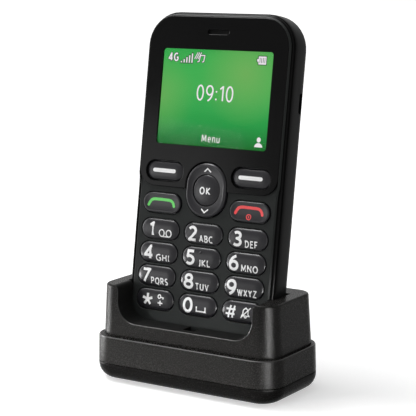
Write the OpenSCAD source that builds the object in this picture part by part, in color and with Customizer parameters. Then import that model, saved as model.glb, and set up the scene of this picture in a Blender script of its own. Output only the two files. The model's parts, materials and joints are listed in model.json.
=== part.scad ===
// Keypad phone standing in its desk charging cradle.
// Millimetres. +Z is up, -Y is the front, and the origin is the middle of the cradle's foot pad on the table.
// The phone's own pieces are drawn in the phone's frame: X to the right, Y up along the phone and Z out of
// its face, with zero at the middle of the screen's picture. on_phone() stands that frame in the cradle.

/* [Phone body] */
// Width of the phone
phone_w = 65.6; // [63:0.1:70]
// Length of the phone
phone_l = 129.9; // [127:0.1:140]
// Thickness of the phone, from the front panel to the back
phone_t = 12.9; // [12.5:0.1:16]
// Distance from the middle of the screen to the phone's top
screen_to_top = 32.4; // [31:0.1:38]
// Radius of the phone's four corners, seen from the front
corner_r = 13; // [9:0.1:16]
// Rounding of the front edge
front_roll = 1.6; // [0.8:0.1:2.4]
// Rounding of the back edge
back_roll = 4; // [3:0.1:5]
// Wall of the phone's shells
shell_wall = 1.5; // [1.2:0.1:2]
// Thickness of the plate that the keys come through
face_t = 1.3; // [1:0.1:1.8]
// Height of the removable back cover's edge above the back
cover_rim = 2.2; // [1.8:0.1:2.6]
// Thickness of the removable back cover
back_wall = 1.2; // [0.8:0.1:1.5]

/* [Front panel] */
// Width of the glossy panel
panel_w = 62; // [60.5:0.1:62.4]
// Thickness of the glossy panel, which lies over the screen
panel_t = 0.8; // [0.5:0.1:1.2]
// Height of the panel above the keypad's face
panel_step = 1; // [0.6:0.1:1.6]
// Height of the frame around the panel above the keypad's face
rim_rise = 0.7; // [0.4:0.1:0.9]
// Edge between the panel's top and the phone's top
panel_margin = 1.8; // [1.4:0.1:3]
// Distance from the middle of the screen to the panel's lower edge
panel_drop = 34.9; // [33:0.1:37]
// Radius of the panel's upper corners
panel_top_r = 11; // [7:0.1:13]
// Radius of the panel's lower corners
panel_low_r = 7; // [3:0.1:10]
// Width of the picture on the screen
screen_w = 49; // [44:0.1:50]
// Height of the picture on the screen
screen_l = 36.8; // [33:0.1:37.5]
// Width of the earpiece slot
ear_w = 9.5; // [6:0.1:16]
// Height of the earpiece slot
ear_l = 1.7; // [1:0.1:2.4]
// Distance from the middle of the screen to the earpiece slot
ear_up = 24.9; // [24:0.1:26]

/* [Keys] */
// Width of a number key
key_w = 17.15; // [14:0.05:17.6]
// Height of a number key
key_l = 7.65; // [6:0.05:7.7]
// Spacing of the key columns
column_pitch = 19.73; // [19.6:0.01:20]
// Spacing of the key rows
row_pitch = 9.08; // [9.05:0.01:9.4]
// Distance from the call key to the first row of numbers
call_to_numbers = 10.09; // [9.8:0.01:10.8]
// Height of a key's rim above the keypad's face
key_rise = 0.5; // [0.3:0.05:0.9]
// Crown of a key above its rim
key_crown = 0.3; // [0.1:0.05:0.6]
// Gap around a key
key_gap = 0.25; // [0.15:0.01:0.3]
// Travel of a key
key_travel = 0.35; // [0.2:0.01:0.4]
// Lip under the face that keeps a key in
key_lip = 0.6; // [0.4:0.05:0.65]
// Width of the two soft keys under the screen
soft_w = 16.6; // [13:0.1:17.4]
// Height of the two soft keys
soft_l = 7.3; // [6:0.1:7.4]
// Distance of a soft key from the middle line
soft_out = 19.4; // [19.2:0.1:20]
// Distance from the middle of the screen to the soft keys
soft_drop = 28.83; // [28.7:0.01:30]
// Width of the call key and of the end key
call_w = 17.2; // [14:0.1:17.4]
// Height of the call key and of the end key
call_l = 7.5; // [6:0.1:7.8]
// Distance from the soft keys to the call and end keys
soft_to_call = 12.42; // [12:0.01:13.2]
// Width of the up and down pad
nav_w = 17.9; // [16:0.1:18.2]
// Height of the up and down pad
nav_l = 20.6; // [18:0.1:20.8]
// Corner radius of the up and down pad
nav_r = 8.6; // [5:0.1:8.8]
// Distance from the soft keys to the middle of the pad
soft_to_nav = 5.97; // [5.8:0.01:6.3]
// Height of the pad above the keypad's face
nav_rise = 1.2; // [0.8:0.1:2]
// Radius of the OK key
ok_r = 5.9; // [4.5:0.1:6.2]

/* [Cradle] */
// Width of the cradle's base
base_w = 82.54; // [80:0.01:92]
// Depth of the cradle's base
base_d = 39.92; // [38:0.01:46]
// Radius of the base's upright corners
base_r = 9.8; // [9:0.1:11]
// Height of the ledge on which the base ends
ledge_z = 17.87; // [17:0.01:20]
// Height of the seam between the bottom tray and the ring
seam_z = 7.32; // [7:0.01:7.8]
// Rounding of the tray's bottom edge
tray_roll = 6; // [3:0.1:6.2]
// Width of the ledge on both sides of the cover
ledge_side = 1.66; // [1.6:0.01:2.6]
// Width of the ledge in front of the cover
ledge_front = 3.66; // [3:0.01:4.4]
// Width of the ledge behind the cover
ledge_back = 2.74; // [2.2:0.01:3.2]
// Height of the cover's flat top above the table
cover_z = 37.4; // [34:0.1:42]
// Radius of the cover's upright corners at its foot
cover_r = 7.32; // [6.6:0.01:9]
// Draw-in of the cover from foot to top
cover_inset = 1.05; // [0.5:0.01:1.4]
// Draw-in of the ring from seam to ledge
ring_inset = 0.23; // [0:0.01:0.4]
// Wall of the cradle's shells
cradle_wall = 1.8; // [1.4:0.1:2]
// Width of the cut in the front, between the two posts
window_w = 60.4; // [59:0.1:62]
// Height of the cut's floor above the table
window_z = 23.3; // [22.5:0.1:26]
// Radius of the cut's lower corners
window_r = 8; // [4:0.1:10]
// Rounding along the top of the cut's two sides
post_roll = 2.2; // [1:0.1:2.6]
// Gap between the phone and its pocket
pocket_gap = 0.25; // [0.2:0.01:0.4]
// Lean of the phone, in degrees back from upright
lean = 9.343; // [7:0.001:11]
// Height of the middle of the phone's lower end
seat_z = 11.88; // [11.8:0.01:13]
// Set-back of the middle of the phone's lower end
seat_y = -3.16; // [-3.6:0.01:-2.6]
// Flat edge of the tray left beside the foot pad
pad_side = 1.27; // [0.8:0.01:2.3]
// Flat edge of the tray left in front of the foot pad and behind it
pad_end = 0.56; // [0.3:0.01:0.8]
// Thickness of the foot pad
pad_t = 1; // [0.8:0.1:1.2]
// Height that the foot pad stands out of the tray
pad_out = 0.5; // [0.3:0.1:0.7]
// Radius of a charging pin
pin_r = 0.75; // [0.6:0.01:0.85]
// Travel of a charging pin
pin_travel = 0.8; // [0.4:0.1:1]
// Distance of a charging pin from the middle line
pin_out = 5; // [4:0.1:6]

/* [Hidden] */
$fn = 64;
big = 200;                             // longer than anything here, for cuts that run right through
fit = 0.1;                             // gap between two pieces that are fitted without force
loose = 0.2;                           // gap around a piece that drops into its place
run = 0.05;                            // running gap around a sliding pin

// levels through the phone's thickness, from the front to the back
panel_top = panel_t;                   // front of the glossy panel
face_top = panel_top - panel_step;     // keypad's face
rim_top = face_top + rim_rise;         // top of the frame around the panel
back = panel_top - phone_t;            // back of the phone
face_in = face_top - face_t;           // inner side of the face
lip_top = face_in - fit;               // top of the keys' lips
lip_t = 0.55;
key_foot = lip_top - lip_t;            // lower end of a key
nav_top = face_top + nav_rise;
nav_foot = key_foot - fit;
web_top = key_foot - key_travel - fit; // key web, which the keys press
web_t = 0.3;
web_post = 0.1;
dome_t = 0.3;
board_top = web_top - web_t - web_post - dome_t - run;
board_t = 0.9;
board_back = board_top - board_t;
chassis_top = board_back - loose;      // front of the rear housing
bay_floor = 1;                         // floor of the battery's bay
parting = back + cover_rim;            // where the back cover meets the front housing
chassis_back = back + back_wall + loose;
chassis_step = parting + 0.4;          // the rear housing is narrower behind this
phone_low = screen_to_top - phone_l;   // the phone's lower end
phone_mid = screen_to_top - phone_l / 2;

// rows of keys, below the middle of the screen
nav_drop = soft_drop + soft_to_nav;
call_drop = soft_drop + soft_to_call;
first_row = call_drop + call_to_numbers;
ramp = [-36, -30];                     // waist where the frame comes down to the keypad's face

// pieces inside the phone
lcd_w = screen_w + 3.6;
lcd_l = screen_l + 6;
lcd_down = 1;                          // the glass has more edge below its picture than above
lcd_t = 1.25;
ear_box = [13, 6.6];                   // earpiece
mic_up = 6.5;                          // microphone above the lower end
web_high = -lcd_down - lcd_l / 2 - loose; // the key web lies below the display glass
web_low = -first_row - 3 * row_pitch - key_l;
boss_r = 2.2;
screw_r = 0.9;
head_r = 1.9;
head_t = 1.2;
top_screw = [phone_w / 2 - 6.8, 25];   // screws, from the middle of the screen
low_screw = [phone_w / 2 - 10.8, phone_low + 6.5];
board_w = phone_w - 2 * shell_wall - 3.6;
board_l = phone_l - 2 * shell_wall - 3.5;
battery = [44, 56, 4.8];
battery_drop = 52;                     // middle of the battery below the middle of the screen
bay_gap = 0.5;
springs = [12, 2.4, 3.55];             // block of the battery's spring contacts
bay_top = -battery_drop + battery[1] / 2 + bay_gap;
well = [phone_w - 9.6, 40.5];          // space for the parts behind the screen
well_mid = bay_top + 3 + well[1] / 2;
well_floor = chassis_back + 1.5;
port = [7.9, 2.3];                     // charging and data socket in the right side
port_up = 0.15;
port_level = back + 3.95;
port_deep = 5.2;
rocker = [20, 3.2];                    // volume rocker in the left side
rocker_up = 4;
rocker_level = face_top - 5;
rocker_out = 0.6;
assist_r = 6.3;                        // assistance key in the back
assist_up = 1;
speaker = [18, 11, 3.2];
speaker_drop = 14;
slot_l = 9;                            // sound slots in the back
slot_w = 1.2;
slot_pitch = 2.4;
camera_up = 15;
camera_box = 8.5;
can_edge = 5;                          // board left free beside the shield over the radio parts
can_inner = 7.5;                       // the shield's side that faces the middle line
can = [board_w / 2 - can_edge - can_inner, 20, 1.8];
can_wall = 0.2;
can_at = [-can_inner - can[0] / 2, 5];
motor_r = 4;                           // coin motor
motor_t = 2.7;
motor_at = [15, 6];
lens_r = 2.7;
glass_r = 4;                           // camera window
sim = [25, 15];
sim_drop = 44;
strip = [30, 5.6];                     // antenna strip
strip_down = 7.4;                      // its middle below the phone's top
contact = [3, 2.2];                    // charging contacts in the phone's lower end
contact_level = back + 5.6;
contact_sunk = 0.1;

// cradle
pocket_top = face_top + pocket_gap;    // front side of the pocket, in the phone's frame
pocket_back = back - pocket_gap;
pocket_low = phone_low - pocket_gap;
tub_low = pocket_low - cradle_wall;    // underside of the pocket's floor
cover_w = base_w - 2 * ledge_side;
cover_d = base_d - ledge_front - ledge_back;
cover_back = (ledge_front - ledge_back) / 2; // set-back of the cover's middle
cover_back_y = cover_back + cover_d / 2;
pad_w = base_w - 2 * (tray_roll + pad_side);
pad_d = base_d - 2 * (tray_roll + pad_end);
skirt_z = seam_z + fit + loose / 2;    // lower end of the cover, inside the ring
flange_t = 1.2;                        // the cover's flange, which holds the ring down
flange_out = 0.55;
tray_z = pad_out;                      // underside of the tray
tray_floor = tray_z + 1.6;
window_end = -1;                       // the window's cut stops inside the pocket
screw_x = cover_w / 2 - 9.61;
front_screw_y = seat_y - 8.04;         // the front bosses grow out of the pocket's wall
back_screw_y = cover_back_y - 6.22;
boss_front_z = 20;                     // upper end of the cover's front bosses
post_r = 2.9;
cradle_boss_r = 2.4;
cradle_screw_r = 0.95;
cradle_head_z = tray_floor + 1.9;      // bearing face of the screws' heads
cradle_screw_top = skirt_z + 4;
deck_z = seam_z + 2;                   // underside of the charging board
deck_front = seat_y + 9.46;            // the board lies between the pocket and the cover's back
deck_back = cover_back_y - 2.12;
deck = [40, deck_back - deck_front, 1.2];
deck_y = (deck_front + deck_back) / 2;
deck_post = [16, deck_y + 1.3];
deck_post_r = 2;
post_room = 2.1;                       // room left between the ballast and the posts
ballast_low = tray_roll + fit - base_d / 2;
ballast_high = deck_post[1] - deck_post_r - post_room;
ballast = [2 * (screw_x - post_r - post_room), ballast_high - ballast_low, 2.2];
inlet = [7.5, 5, 2.8];                 // power inlet
plug_room = [11.5, 7.5];               // room in the ring for a plug's grip
block = [18, 6, 4.4];                  // block that carries the charging pins
pin_flange_r = 1.15;
pin_shoulder = 3;                      // pin's flange below the pocket's floor
flex = [6, 0.3];
notch = [5.2, 3, 0.9];                 // speech notch in the window's floor

number_rows = [for (row = [0:3]) -first_row - row * row_pitch];

// ---- shared forms ----

// Stands the phone's frame in the cradle.
module on_phone()
    translate([0, seat_y, seat_z]) rotate([90 - lean, 0, 0])
        translate([0, -phone_low, phone_t / 2 - panel_top]) children();

// Flat rounded rectangle, centred.
module rounded(w, l, r) {
    if (w > 2 * r + 0.001) square([w - 2 * r, l], center = true);
    if (l > 2 * r + 0.001) square([w, l - 2 * r], center = true);
    for (x = w > 2 * r + 0.001 ? [-1, 1] : [0], y = l > 2 * r + 0.001 ? [-1, 1] : [0])
        translate([x * (w / 2 - r), y * (l / 2 - r)]) circle(r);
}

// The same as a plate, from z = 0 up.
module plate(w, l, r, t) linear_extrude(t) rounded(w, l, r);

// Rounded block that draws in by inset from its foot to its top.
module drawn_block(w, l, r, inset, h) {
    for (x = w > 2 * r + 0.001 ? [-1, 1] : [0], y = l > 2 * r + 0.001 ? [-1, 1] : [0])
        translate([x * (w / 2 - r), y * (l / 2 - r), 0]) cylinder(h, r, r - inset);
    if (w > 2 * r + 0.001) rotate([90, 0, 90]) linear_extrude(w - 2 * r, center = true)
        polygon([[-l / 2, 0], [l / 2, 0], [l / 2 - inset, h], [inset - l / 2, h]]);
    if (l > 2 * r + 0.001) rotate([90, 0, 0]) linear_extrude(l - 2 * r, center = true)
        polygon([[-w / 2, 0], [w / 2, 0], [w / 2 - inset, h], [inset - w / 2, h]]);
}

// Section of a rolled edge: top rounded by roll_top, bottom by roll_low.
module edge_section(r, t, roll_top, roll_low) intersection() {
    square([r, t]);
    union() {
        difference() {
            square([r, t]);
            if (roll_top > 0) translate([r - roll_top, t - roll_top]) square(roll_top + 1);
            if (roll_low > 0) translate([r - roll_low, -1]) square(roll_low + 1);
        }
        if (roll_top > 0) translate([r - roll_top, t - roll_top]) circle(roll_top);
        if (roll_low > 0) translate([r - roll_low, roll_low]) circle(roll_low);
    }
}

// Rounded block whose upper and lower edges are rolled all round.
module rolled_block(w, l, r, t, roll_top, roll_low) {
    for (c = [[1, 1, 0], [-1, 1, 90], [-1, -1, 180], [1, -1, 270]])
        translate([c[0] * (w / 2 - r), c[1] * (l / 2 - r), 0]) rotate(c[2])
            rotate_extrude(angle = 90) edge_section(r, t, roll_top, roll_low);
    for (turn = [0, 180]) rotate(turn) {
        translate([w / 2 - r, 0, 0]) rotate([90, 0, 0])
            linear_extrude(l - 2 * r, center = true) edge_section(r, t, roll_top, roll_low);
        rotate(90) translate([l / 2 - r, 0, 0]) rotate([90, 0, 0])
            linear_extrude(w - 2 * r, center = true) edge_section(r, t, roll_top, roll_low);
    }
    translate([r - w / 2, r - l / 2, 0]) cube([w - 2 * r, l - 2 * r, t]);
}

// The phone's outer form, from its back to the frame's top.
module phone_form()
    translate([0, phone_mid, back])
        rolled_block(phone_w, phone_l, corner_r, rim_top - back, front_roll, back_roll);

// Outline of the glossy panel, grown by d.
module panel_outline(d) {
    half = panel_w / 2 + d;
    top = screen_to_top - panel_margin + d;
    low = -panel_drop - d;
    upper_r = panel_top_r + d;
    lower_r = panel_low_r + d;
    translate([-half, low + lower_r]) square([2 * half, top - low - upper_r - lower_r]);
    translate([upper_r - half, top - upper_r]) square([2 * (half - upper_r), upper_r]);
    translate([lower_r - half, low]) square([2 * (half - lower_r), lower_r]);
    for (side = [-1, 1]) {
        translate([side * (half - upper_r), top - upper_r]) circle(upper_r);
        translate([side * (half - lower_r), low + lower_r]) circle(lower_r);
    }
}

// Places the children at the four housing screws.
module at_screws()
    for (side = [-1, 1], at = [top_screw, low_screw]) translate([side * at[0], at[1], 0]) children();

// Keys: a shaft through the face, a lip behind it and a crowned cap in front.
module key_cap(w, l, x, y, rim) on_phone() translate([x, y, 0]) {
    shoulder = rim - 0.35;
    translate([0, 0, key_foot]) plate(w, l, l / 2, shoulder - key_foot);
    translate([0, 0, key_foot]) plate(w + 2 * key_lip, l + 2 * key_lip, l / 2 + key_lip, lip_t);
    translate([0, 0, shoulder]) drawn_block(w, l, l / 2, 0.45, rim - shoulder);
    translate([0, 0, rim]) drawn_block(w - 0.9, l - 0.9, l / 2 - 0.45, 1.5, key_crown);
}

module number_key(column, row)
    color("#3a3a3c") key_cap(key_w, key_l, column * column_pitch, number_rows[row], face_top + key_rise);

// Openings for the keys, grown by d on every side.
module key_openings(d) {
    for (row = number_rows, column = [-1:1])
        translate([column * column_pitch, row]) rounded(key_w + 2 * d, key_l + 2 * d, key_l / 2 + d);
    for (side = [-1, 1]) {
        translate([side * soft_out, -soft_drop]) rounded(soft_w + 2 * d, soft_l + 2 * d, soft_l / 2 + d);
        translate([side * column_pitch, -call_drop]) rounded(call_w + 2 * d, call_l + 2 * d, call_l / 2 + d);
    }
    translate([0, -nav_drop]) rounded(nav_w + 2 * d, nav_l + 2 * d, nav_r + d);
}

// ---- phone: front ----

// Front housing: the keypad's face and the phone's sides in one moulding.
module front_housing() color("#2b2d2c") on_phone() difference() {
    union() {
        difference() {
            phone_form();
            translate([0, phone_mid, back - 1]) plate(phone_w + 2, phone_l + 2, corner_r, parting - back + 1);
            translate([0, phone_mid, parting - 1])
                plate(phone_w - 2 * shell_wall, phone_l - 2 * shell_wall, corner_r - shell_wall, face_in - parting + 1);
            // seat of the panel, and the lower face with the ramp that leads up to the frame
            linear_extrude(big) panel_outline(fit);
            difference() {
                rotate([90, 0, 90]) linear_extrude(big, center = true)
                    polygon([[-big, face_top], [ramp[0], face_top], [ramp[1], rim_top], [ramp[1], big], [-big, big]]);
                linear_extrude(big, center = true) panel_outline(fit);
            }
        }
        intersection() {
            at_screws() translate([0, 0, board_top + run]) cylinder(face_in - board_top, boss_r, boss_r);
            translate([0, phone_mid, board_top]) plate(phone_w - 1, phone_l - 1, corner_r, 3);
        }
    }
    translate([0, 0, face_in - 1]) linear_extrude(face_t + 3) key_openings(key_gap);
    translate([0, -lcd_down, face_in - 1]) plate(lcd_w + 2 * fit, lcd_l + 2 * fit, 1, face_t + 3);
    translate([0, ear_up, face_in - 1]) plate(ear_w - 0.5, ear_l - 0.3, (ear_l - 0.3) / 2, face_t + 3);
    translate([0, ear_up, -0.2]) plate(ear_w + 1.2, ear_l + 1.2, (ear_l + 1.2) / 2, 1);
    translate([0, phone_low + mic_up, face_in - 1]) cylinder(face_t + 3, 0.6, 0.6);
    at_screws() translate([0, 0, board_top - 1]) cylinder(face_top - board_top + 0.4, screw_r + run, screw_r + run);
    translate([phone_w / 2, port_up, port_level]) cube([4 * shell_wall, port[0], port[1]], center = true);
    translate([-phone_w / 2, rocker_up, rocker_level])
        cube([4 * shell_wall, rocker[0] + 2 * loose, rocker[1] + 2 * loose], center = true);
    for (side = [-1, 1]) translate([side * pin_out, phone_low, contact_level])
        cube([contact[0] + loose, 4 * shell_wall, contact[1] + loose], center = true);
}

// Glossy front panel with the screen's opening, the earpiece slot and room for the upper keys.
module front_panel() color("#101011") on_phone() difference() {
    linear_extrude(panel_t) panel_outline(0);
    translate([0, 0, -1]) plate(screen_w + 0.6, screen_l + 0.6, 1.2, panel_t + 2);
    translate([0, ear_up, -1]) plate(ear_w, ear_l, ear_l / 2, panel_t + 2);
    translate([0, 0, -1]) linear_extrude(panel_t + 2) key_openings(key_gap);
}

// Clear window that closes the panel's opening over the screen.
module screen_window() color("#cfd8d2", 0.3) on_phone()
    plate(screen_w + 0.5, screen_l + 0.5, 1.15, panel_t);

// Display glass, which shows the picture.
module lcd_glass() color("#2fae4e") on_phone()
    translate([0, -lcd_down, -fit / 2 - lcd_t]) plate(lcd_w, lcd_l, 0.6, lcd_t);

// Light guide and its frame, between the display glass and the board.
module backlight() color("#e8e8e4") on_phone()
    translate([0, -lcd_down, board_top + run]) plate(lcd_w, lcd_l, 0.6, -fit / 2 - lcd_t - board_top - run);

// Mesh that keeps dust out of the earpiece.
module earpiece_mesh() color("#1a1a1a") on_phone()
    translate([0, ear_up, -0.2]) plate(ear_w + 1, ear_l + 1, (ear_l + 1) / 2, 0.2);

// Earpiece capsule behind the slot.
module earpiece() color("#8c8f92") on_phone() translate([0, ear_up, board_top + run]) {
    plate(ear_box[0], ear_box[1], 1.5, lip_top - board_top - run - 0.3);
    plate(ear_box[0] - 3, ear_box[1] - 3, 1, lip_top - board_top - run);
}

// Microphone capsule in the chin.
module microphone() color("#b9a765") on_phone()
    translate([0, phone_low + mic_up, board_top + run]) cylinder(lip_top - board_top - run, 2, 2);

// ---- phone: keys ----

module key_1() number_key(-1, 0);
module key_2() number_key(0, 0);
module key_3() number_key(1, 0);
module key_4() number_key(-1, 1);
module key_5() number_key(0, 1);
module key_6() number_key(1, 1);
module key_7() number_key(-1, 2);
module key_8() number_key(0, 2);
module key_9() number_key(1, 2);
module key_star() number_key(-1, 3);
module key_0() number_key(0, 3);
module key_hash() number_key(1, 3);

module soft_key_left() color("#3a3a3c")
    key_cap(soft_w, soft_l, -soft_out, -soft_drop, face_top + key_rise);
module soft_key_right() color("#3a3a3c")
    key_cap(soft_w, soft_l, soft_out, -soft_drop, face_top + key_rise);
module call_key() color("#3a3a3c")
    key_cap(call_w, call_l, -column_pitch, -call_drop, face_top + key_rise);
module end_key() color("#3a3a3c")
    key_cap(call_w, call_l, column_pitch, -call_drop, face_top + key_rise);

// Ring-shaped pad that rocks up and down around the OK key.
module nav_pad() color("#39393b") on_phone() translate([0, -nav_drop, 0]) difference() {
    union() {
        translate([0, 0, nav_foot]) plate(nav_w, nav_l, nav_r, nav_top - 0.6 - nav_foot);
        translate([0, 0, nav_top - 0.6]) drawn_block(nav_w, nav_l, nav_r, 0.7, 0.6);
        translate([0, 0, nav_foot]) plate(nav_w + 2 * key_lip, nav_l + 2 * key_lip, nav_r + key_lip, 0.4);
    }
    translate([0, 0, nav_foot - 1]) cylinder(big, ok_r + key_gap, ok_r + key_gap);
    translate([0, 0, nav_foot - 1]) cylinder(lip_top - nav_foot + 1.3, ok_r + 1.3, ok_r + 1.3);
}

// OK key in the middle of the pad.
module ok_key() color("#3c3c3e") on_phone() translate([0, -nav_drop, 0]) {
    translate([0, 0, key_foot]) cylinder(nav_top - key_foot - 0.3, ok_r, ok_r);
    translate([0, 0, key_foot]) cylinder(0.45, ok_r + 0.8, ok_r + 0.8);
    translate([0, 0, nav_top - 0.3]) cylinder(0.4, ok_r, ok_r - 0.5);
}

// Silicone web with a post under every key.
module key_web() color("#77797c") on_phone() {
    translate([0, (web_high + web_low) / 2, web_top - web_t]) plate(board_w, web_high - web_low, 4, web_t);
    translate([0, 0, web_top - web_t - web_post]) key_posts(1.3, web_post);
}

// Round features under every key.
module key_posts(r, t) {
    for (row = number_rows, column = [-1:1]) translate([column * column_pitch, row, 0]) cylinder(t, r, r);
    for (side = [-1, 1]) {
        translate([side * soft_out, -soft_drop, 0]) cylinder(t, r, r);
        translate([side * column_pitch, -call_drop, 0]) cylinder(t, r, r);
        translate([0, -nav_drop + side * nav_l * 0.36, 0]) cylinder(t, r, r);
    }
    translate([0, -nav_drop, 0]) cylinder(t, r, r);
}

// Sheet that holds the snap domes on the board.
module dome_sheet() color("#c9ccd0") on_phone() {
    translate([0, (web_high + web_low) / 2, board_top])
        plate(board_w - 2, web_high - web_low - 2, 3, dome_t / 2);
    translate([0, 0, board_top]) key_posts(2.6, dome_t);
}

// ---- phone: inside ----

// Main board, with the switches of the volume rocker and of the assistance key.
module main_board() color("#1f5a37") on_phone() difference() {
    union() {
        translate([0, phone_mid, board_back]) plate(board_w, board_l, corner_r - shell_wall - 1.8, board_t);
        translate([0, assist_up, board_back - 0.6]) plate(5, 5, 0.5, 0.7);
        translate([1.2 - board_w / 2, rocker_up, board_back - 1.6]) plate(2.2, 9, 0.4, 1.7);
    }
    at_screws() translate([0, 0, -big / 2]) cylinder(big, screw_r + loose, screw_r + loose);
}

// Shield over the radio parts.
module shield_can() color("#b4b7ba") on_phone() translate([can_at[0], can_at[1], board_back - can[2]]) difference() {
    plate(can[0], can[1], 1, can[2]);
    translate([0, 0, can_wall]) plate(can[0] - 2 * can_wall, can[1] - 2 * can_wall, 1 - can_wall, can[2]);
}

// Coin motor for the silent alarm.
module vibration_motor() color("#a9acaf") on_phone()
    translate([motor_at[0], motor_at[1], board_back - motor_t]) cylinder(motor_t, motor_r, motor_r);

// Loudspeaker box behind the sound slots.
module loudspeaker() color("#26272a") on_phone() translate([0, -speaker_drop, well_floor + run]) {
    plate(speaker[0], speaker[1], 1.5, speaker[2]);
    plate(6, 4, 0.5, board_back - well_floor - 2 * run);
}

// Camera: a box on the board with its lens barrel.
module camera_module() color("#17181a") on_phone() translate([0, camera_up, 0]) {
    translate([0, 0, well_floor + run]) plate(camera_box, camera_box, 0.6, board_back - well_floor - 2 * run);
    translate([0, 0, chassis_back - run]) cylinder(well_floor - chassis_back + 1, lens_r, lens_r);
}

// Window over the camera, set into the back cover.
module camera_window() color("#0c0d10") on_phone()
    translate([0, camera_up, back + fit]) cylinder(0.6, glass_r, glass_r);

// Card holder under the battery.
module sim_holder() color("#c2c5c8") on_phone() difference() {
    translate([0, -sim_drop, chassis_top - bay_floor + fit]) plate(sim[0], sim[1], 0.8, bay_floor + loose - 2 * fit);
    translate([0, -sim_drop - 1, chassis_top - bay_floor]) plate(sim[0] - 5, sim[1] - 4, 0.8, 0.6);
}

// Spring contacts at the head of the battery's bay.
module battery_contacts() color("#caa648") on_phone() {
    translate([0, bay_top + 1.5, board_back - run - springs[2]]) plate(springs[0], springs[1], 0.3, springs[2]);
    for (x = [-3.5, 0, 3.5]) translate([x, bay_top, board_back - 2.6]) cube([1.2, 0.8, 1.6], center = true);
}

// Battery pack.
module battery_pack() color("#d8d8d4") on_phone()
    translate([0, -battery_drop, chassis_top - bay_floor - fit - battery[2]])
        plate(battery[0], battery[1], 2, battery[2]);

// Charging and data socket in the phone's right side.
module side_port() color("#8f9194") on_phone() {
    deep = phone_w / 2 - shell_wall - 0.1;
    shell = [port[0] - 0.4, port[1] - 0.3];
    difference() {
        translate([deep + 0.9 - port_deep, port_up, port_level]) rotate([0, 90, 0])
            plate(shell[1], shell[0], 0.7, port_deep);
        translate([deep + 1.9 - port_deep, port_up, port_level]) rotate([0, 90, 0])
            plate(shell[1] - 0.5, shell[0] - 0.5, 0.5, port_deep);
    }
    translate([deep - 1.9, port_up, port_level]) cube([3.6, shell[0] - 2.2, 0.55], center = true);
    translate([deep - 3, port_up, (port_level + shell[1] / 2 + board_back) / 2])
        cube([2.6, shell[0], board_back - port_level - shell[1] / 2], center = true);
}

// Volume rocker in the phone's left side.
module volume_rocker() color("#2b2d2c") on_phone() translate([0, rocker_up, rocker_level]) {
    inside = phone_w / 2 - shell_wall - 0.3;
    translate([-phone_w / 2 - rocker_out, 0, 0]) rotate([0, 90, 0])
        plate(rocker[1], rocker[0], rocker[1] / 2, phone_w / 2 + rocker_out - inside + 0.3);
    translate([-inside, 0, 0]) rotate([0, 90, 0]) plate(rocker[1] + 1.4, rocker[0] + 1.6, 1, 0.5);
}

// Assistance key in the back.
module assist_key() color("#343638") on_phone() translate([0, assist_up, back]) {
    lip_at = back_wall + fit;
    translate([0, 0, 0.3]) cylinder(lip_at, assist_r, assist_r);
    cylinder(0.3, assist_r - 0.3, assist_r);
    translate([0, 0, lip_at]) cylinder(0.45, assist_r + 1, assist_r + 1);
    translate([0, 0, lip_at]) cylinder(board_back - 0.6 - back - lip_at - key_travel - fit, 1.5, 1.5);
}

// Antenna strip on the upper end of the rear housing.
module antenna_strip() color("#b98a4a") on_phone()
    translate([0, screen_to_top - strip_down, chassis_back - fit]) plate(strip[0], strip[1], 1, fit);

// Two charging contacts in the phone's lower end.
module charge_contacts() color("#d1ac4f") on_phone() for (side = [-1, 1]) translate([side * pin_out, 0, 0]) {
    low = phone_low + contact_sunk;
    reach = phone_mid - board_l / 2 + 1 - low;
    translate([-contact[0] / 2, low, contact_level - contact[1] / 2]) cube([contact[0], reach, contact[1]]);
    translate([-contact[0] / 2, low + reach - 0.8, contact_level])
        cube([contact[0], 0.8, board_back - run - contact_level]);
}

// ---- phone: back ----

// Rear housing: holds the battery and closes the board's space.
module rear_housing() color("#27292a") on_phone() difference() {
    union() {
        translate([0, phone_mid, chassis_step]) plate(phone_w - 2 * shell_wall - 2 * fit,
            phone_l - 2 * shell_wall - 2 * fit, corner_r - shell_wall - fit, chassis_top - chassis_step);
        translate([0, phone_mid, chassis_back]) plate(phone_w - 5.4, phone_l - 5.4, corner_r - 2.7,
            chassis_step - chassis_back + 0.1);
    }
    // battery bay, open to the back, with the window of the card holder in its floor
    translate([0, -battery_drop, chassis_back - 1]) plate(battery[0] + 2 * bay_gap, battery[1] + 2 * bay_gap,
        2, chassis_top - bay_floor - chassis_back + 1);
    translate([0, -sim_drop, chassis_top - 2]) plate(sim[0] + 1, sim[1] + 1, 1, 3);
    translate([0, bay_top + 1.5, board_back - 4]) plate(springs[0] + 1, springs[1] + 2.6, 0.3, 5);
    // well for the parts behind the screen
    translate([0, well_mid, well_floor]) plate(well[0], well[1], 3, chassis_top - well_floor + 1);
    translate([0, camera_up, chassis_back - 1]) cylinder(3, lens_r + 0.4, lens_r + 0.4);
    translate([0, assist_up, chassis_back - 1]) cylinder(3, 2, 2);
    translate([0, assist_up, chassis_back - 1]) cylinder(1.8, assist_r + 1.3, assist_r + 1.3);
    translate([0, -speaker_drop, chassis_back - 1]) sound_slots(3);
    // notches in the sides and in the lower end
    translate([-phone_w / 2, rocker_up, rocker_level]) cube([9, rocker[0] + 5, rocker[1] + 3.2], center = true);
    translate([phone_w / 2, port_up, port_level + 1]) cube([2 * port_deep + 7.6, port[0] + 1.6, port[1] + 5.7], center = true);
    translate([0, phone_low, contact_level]) cube([2 * pin_out + contact[0] + 2, 10, contact[1] + 2.8], center = true);
    // screws
    at_screws() translate([0, 0, -big / 2]) cylinder(big, screw_r + loose, screw_r + loose);
    at_screws() translate([0, 0, chassis_back - 1]) cylinder(chassis_top - 1.4 - chassis_back + 1, head_r + loose, head_r + loose);
}

// Slots that let the loudspeaker sound out of the back.
module sound_slots(t)
    for (step = [-2:2]) translate([step * slot_pitch, 0, 0]) plate(slot_w, slot_l, slot_w / 2, t);

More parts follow.
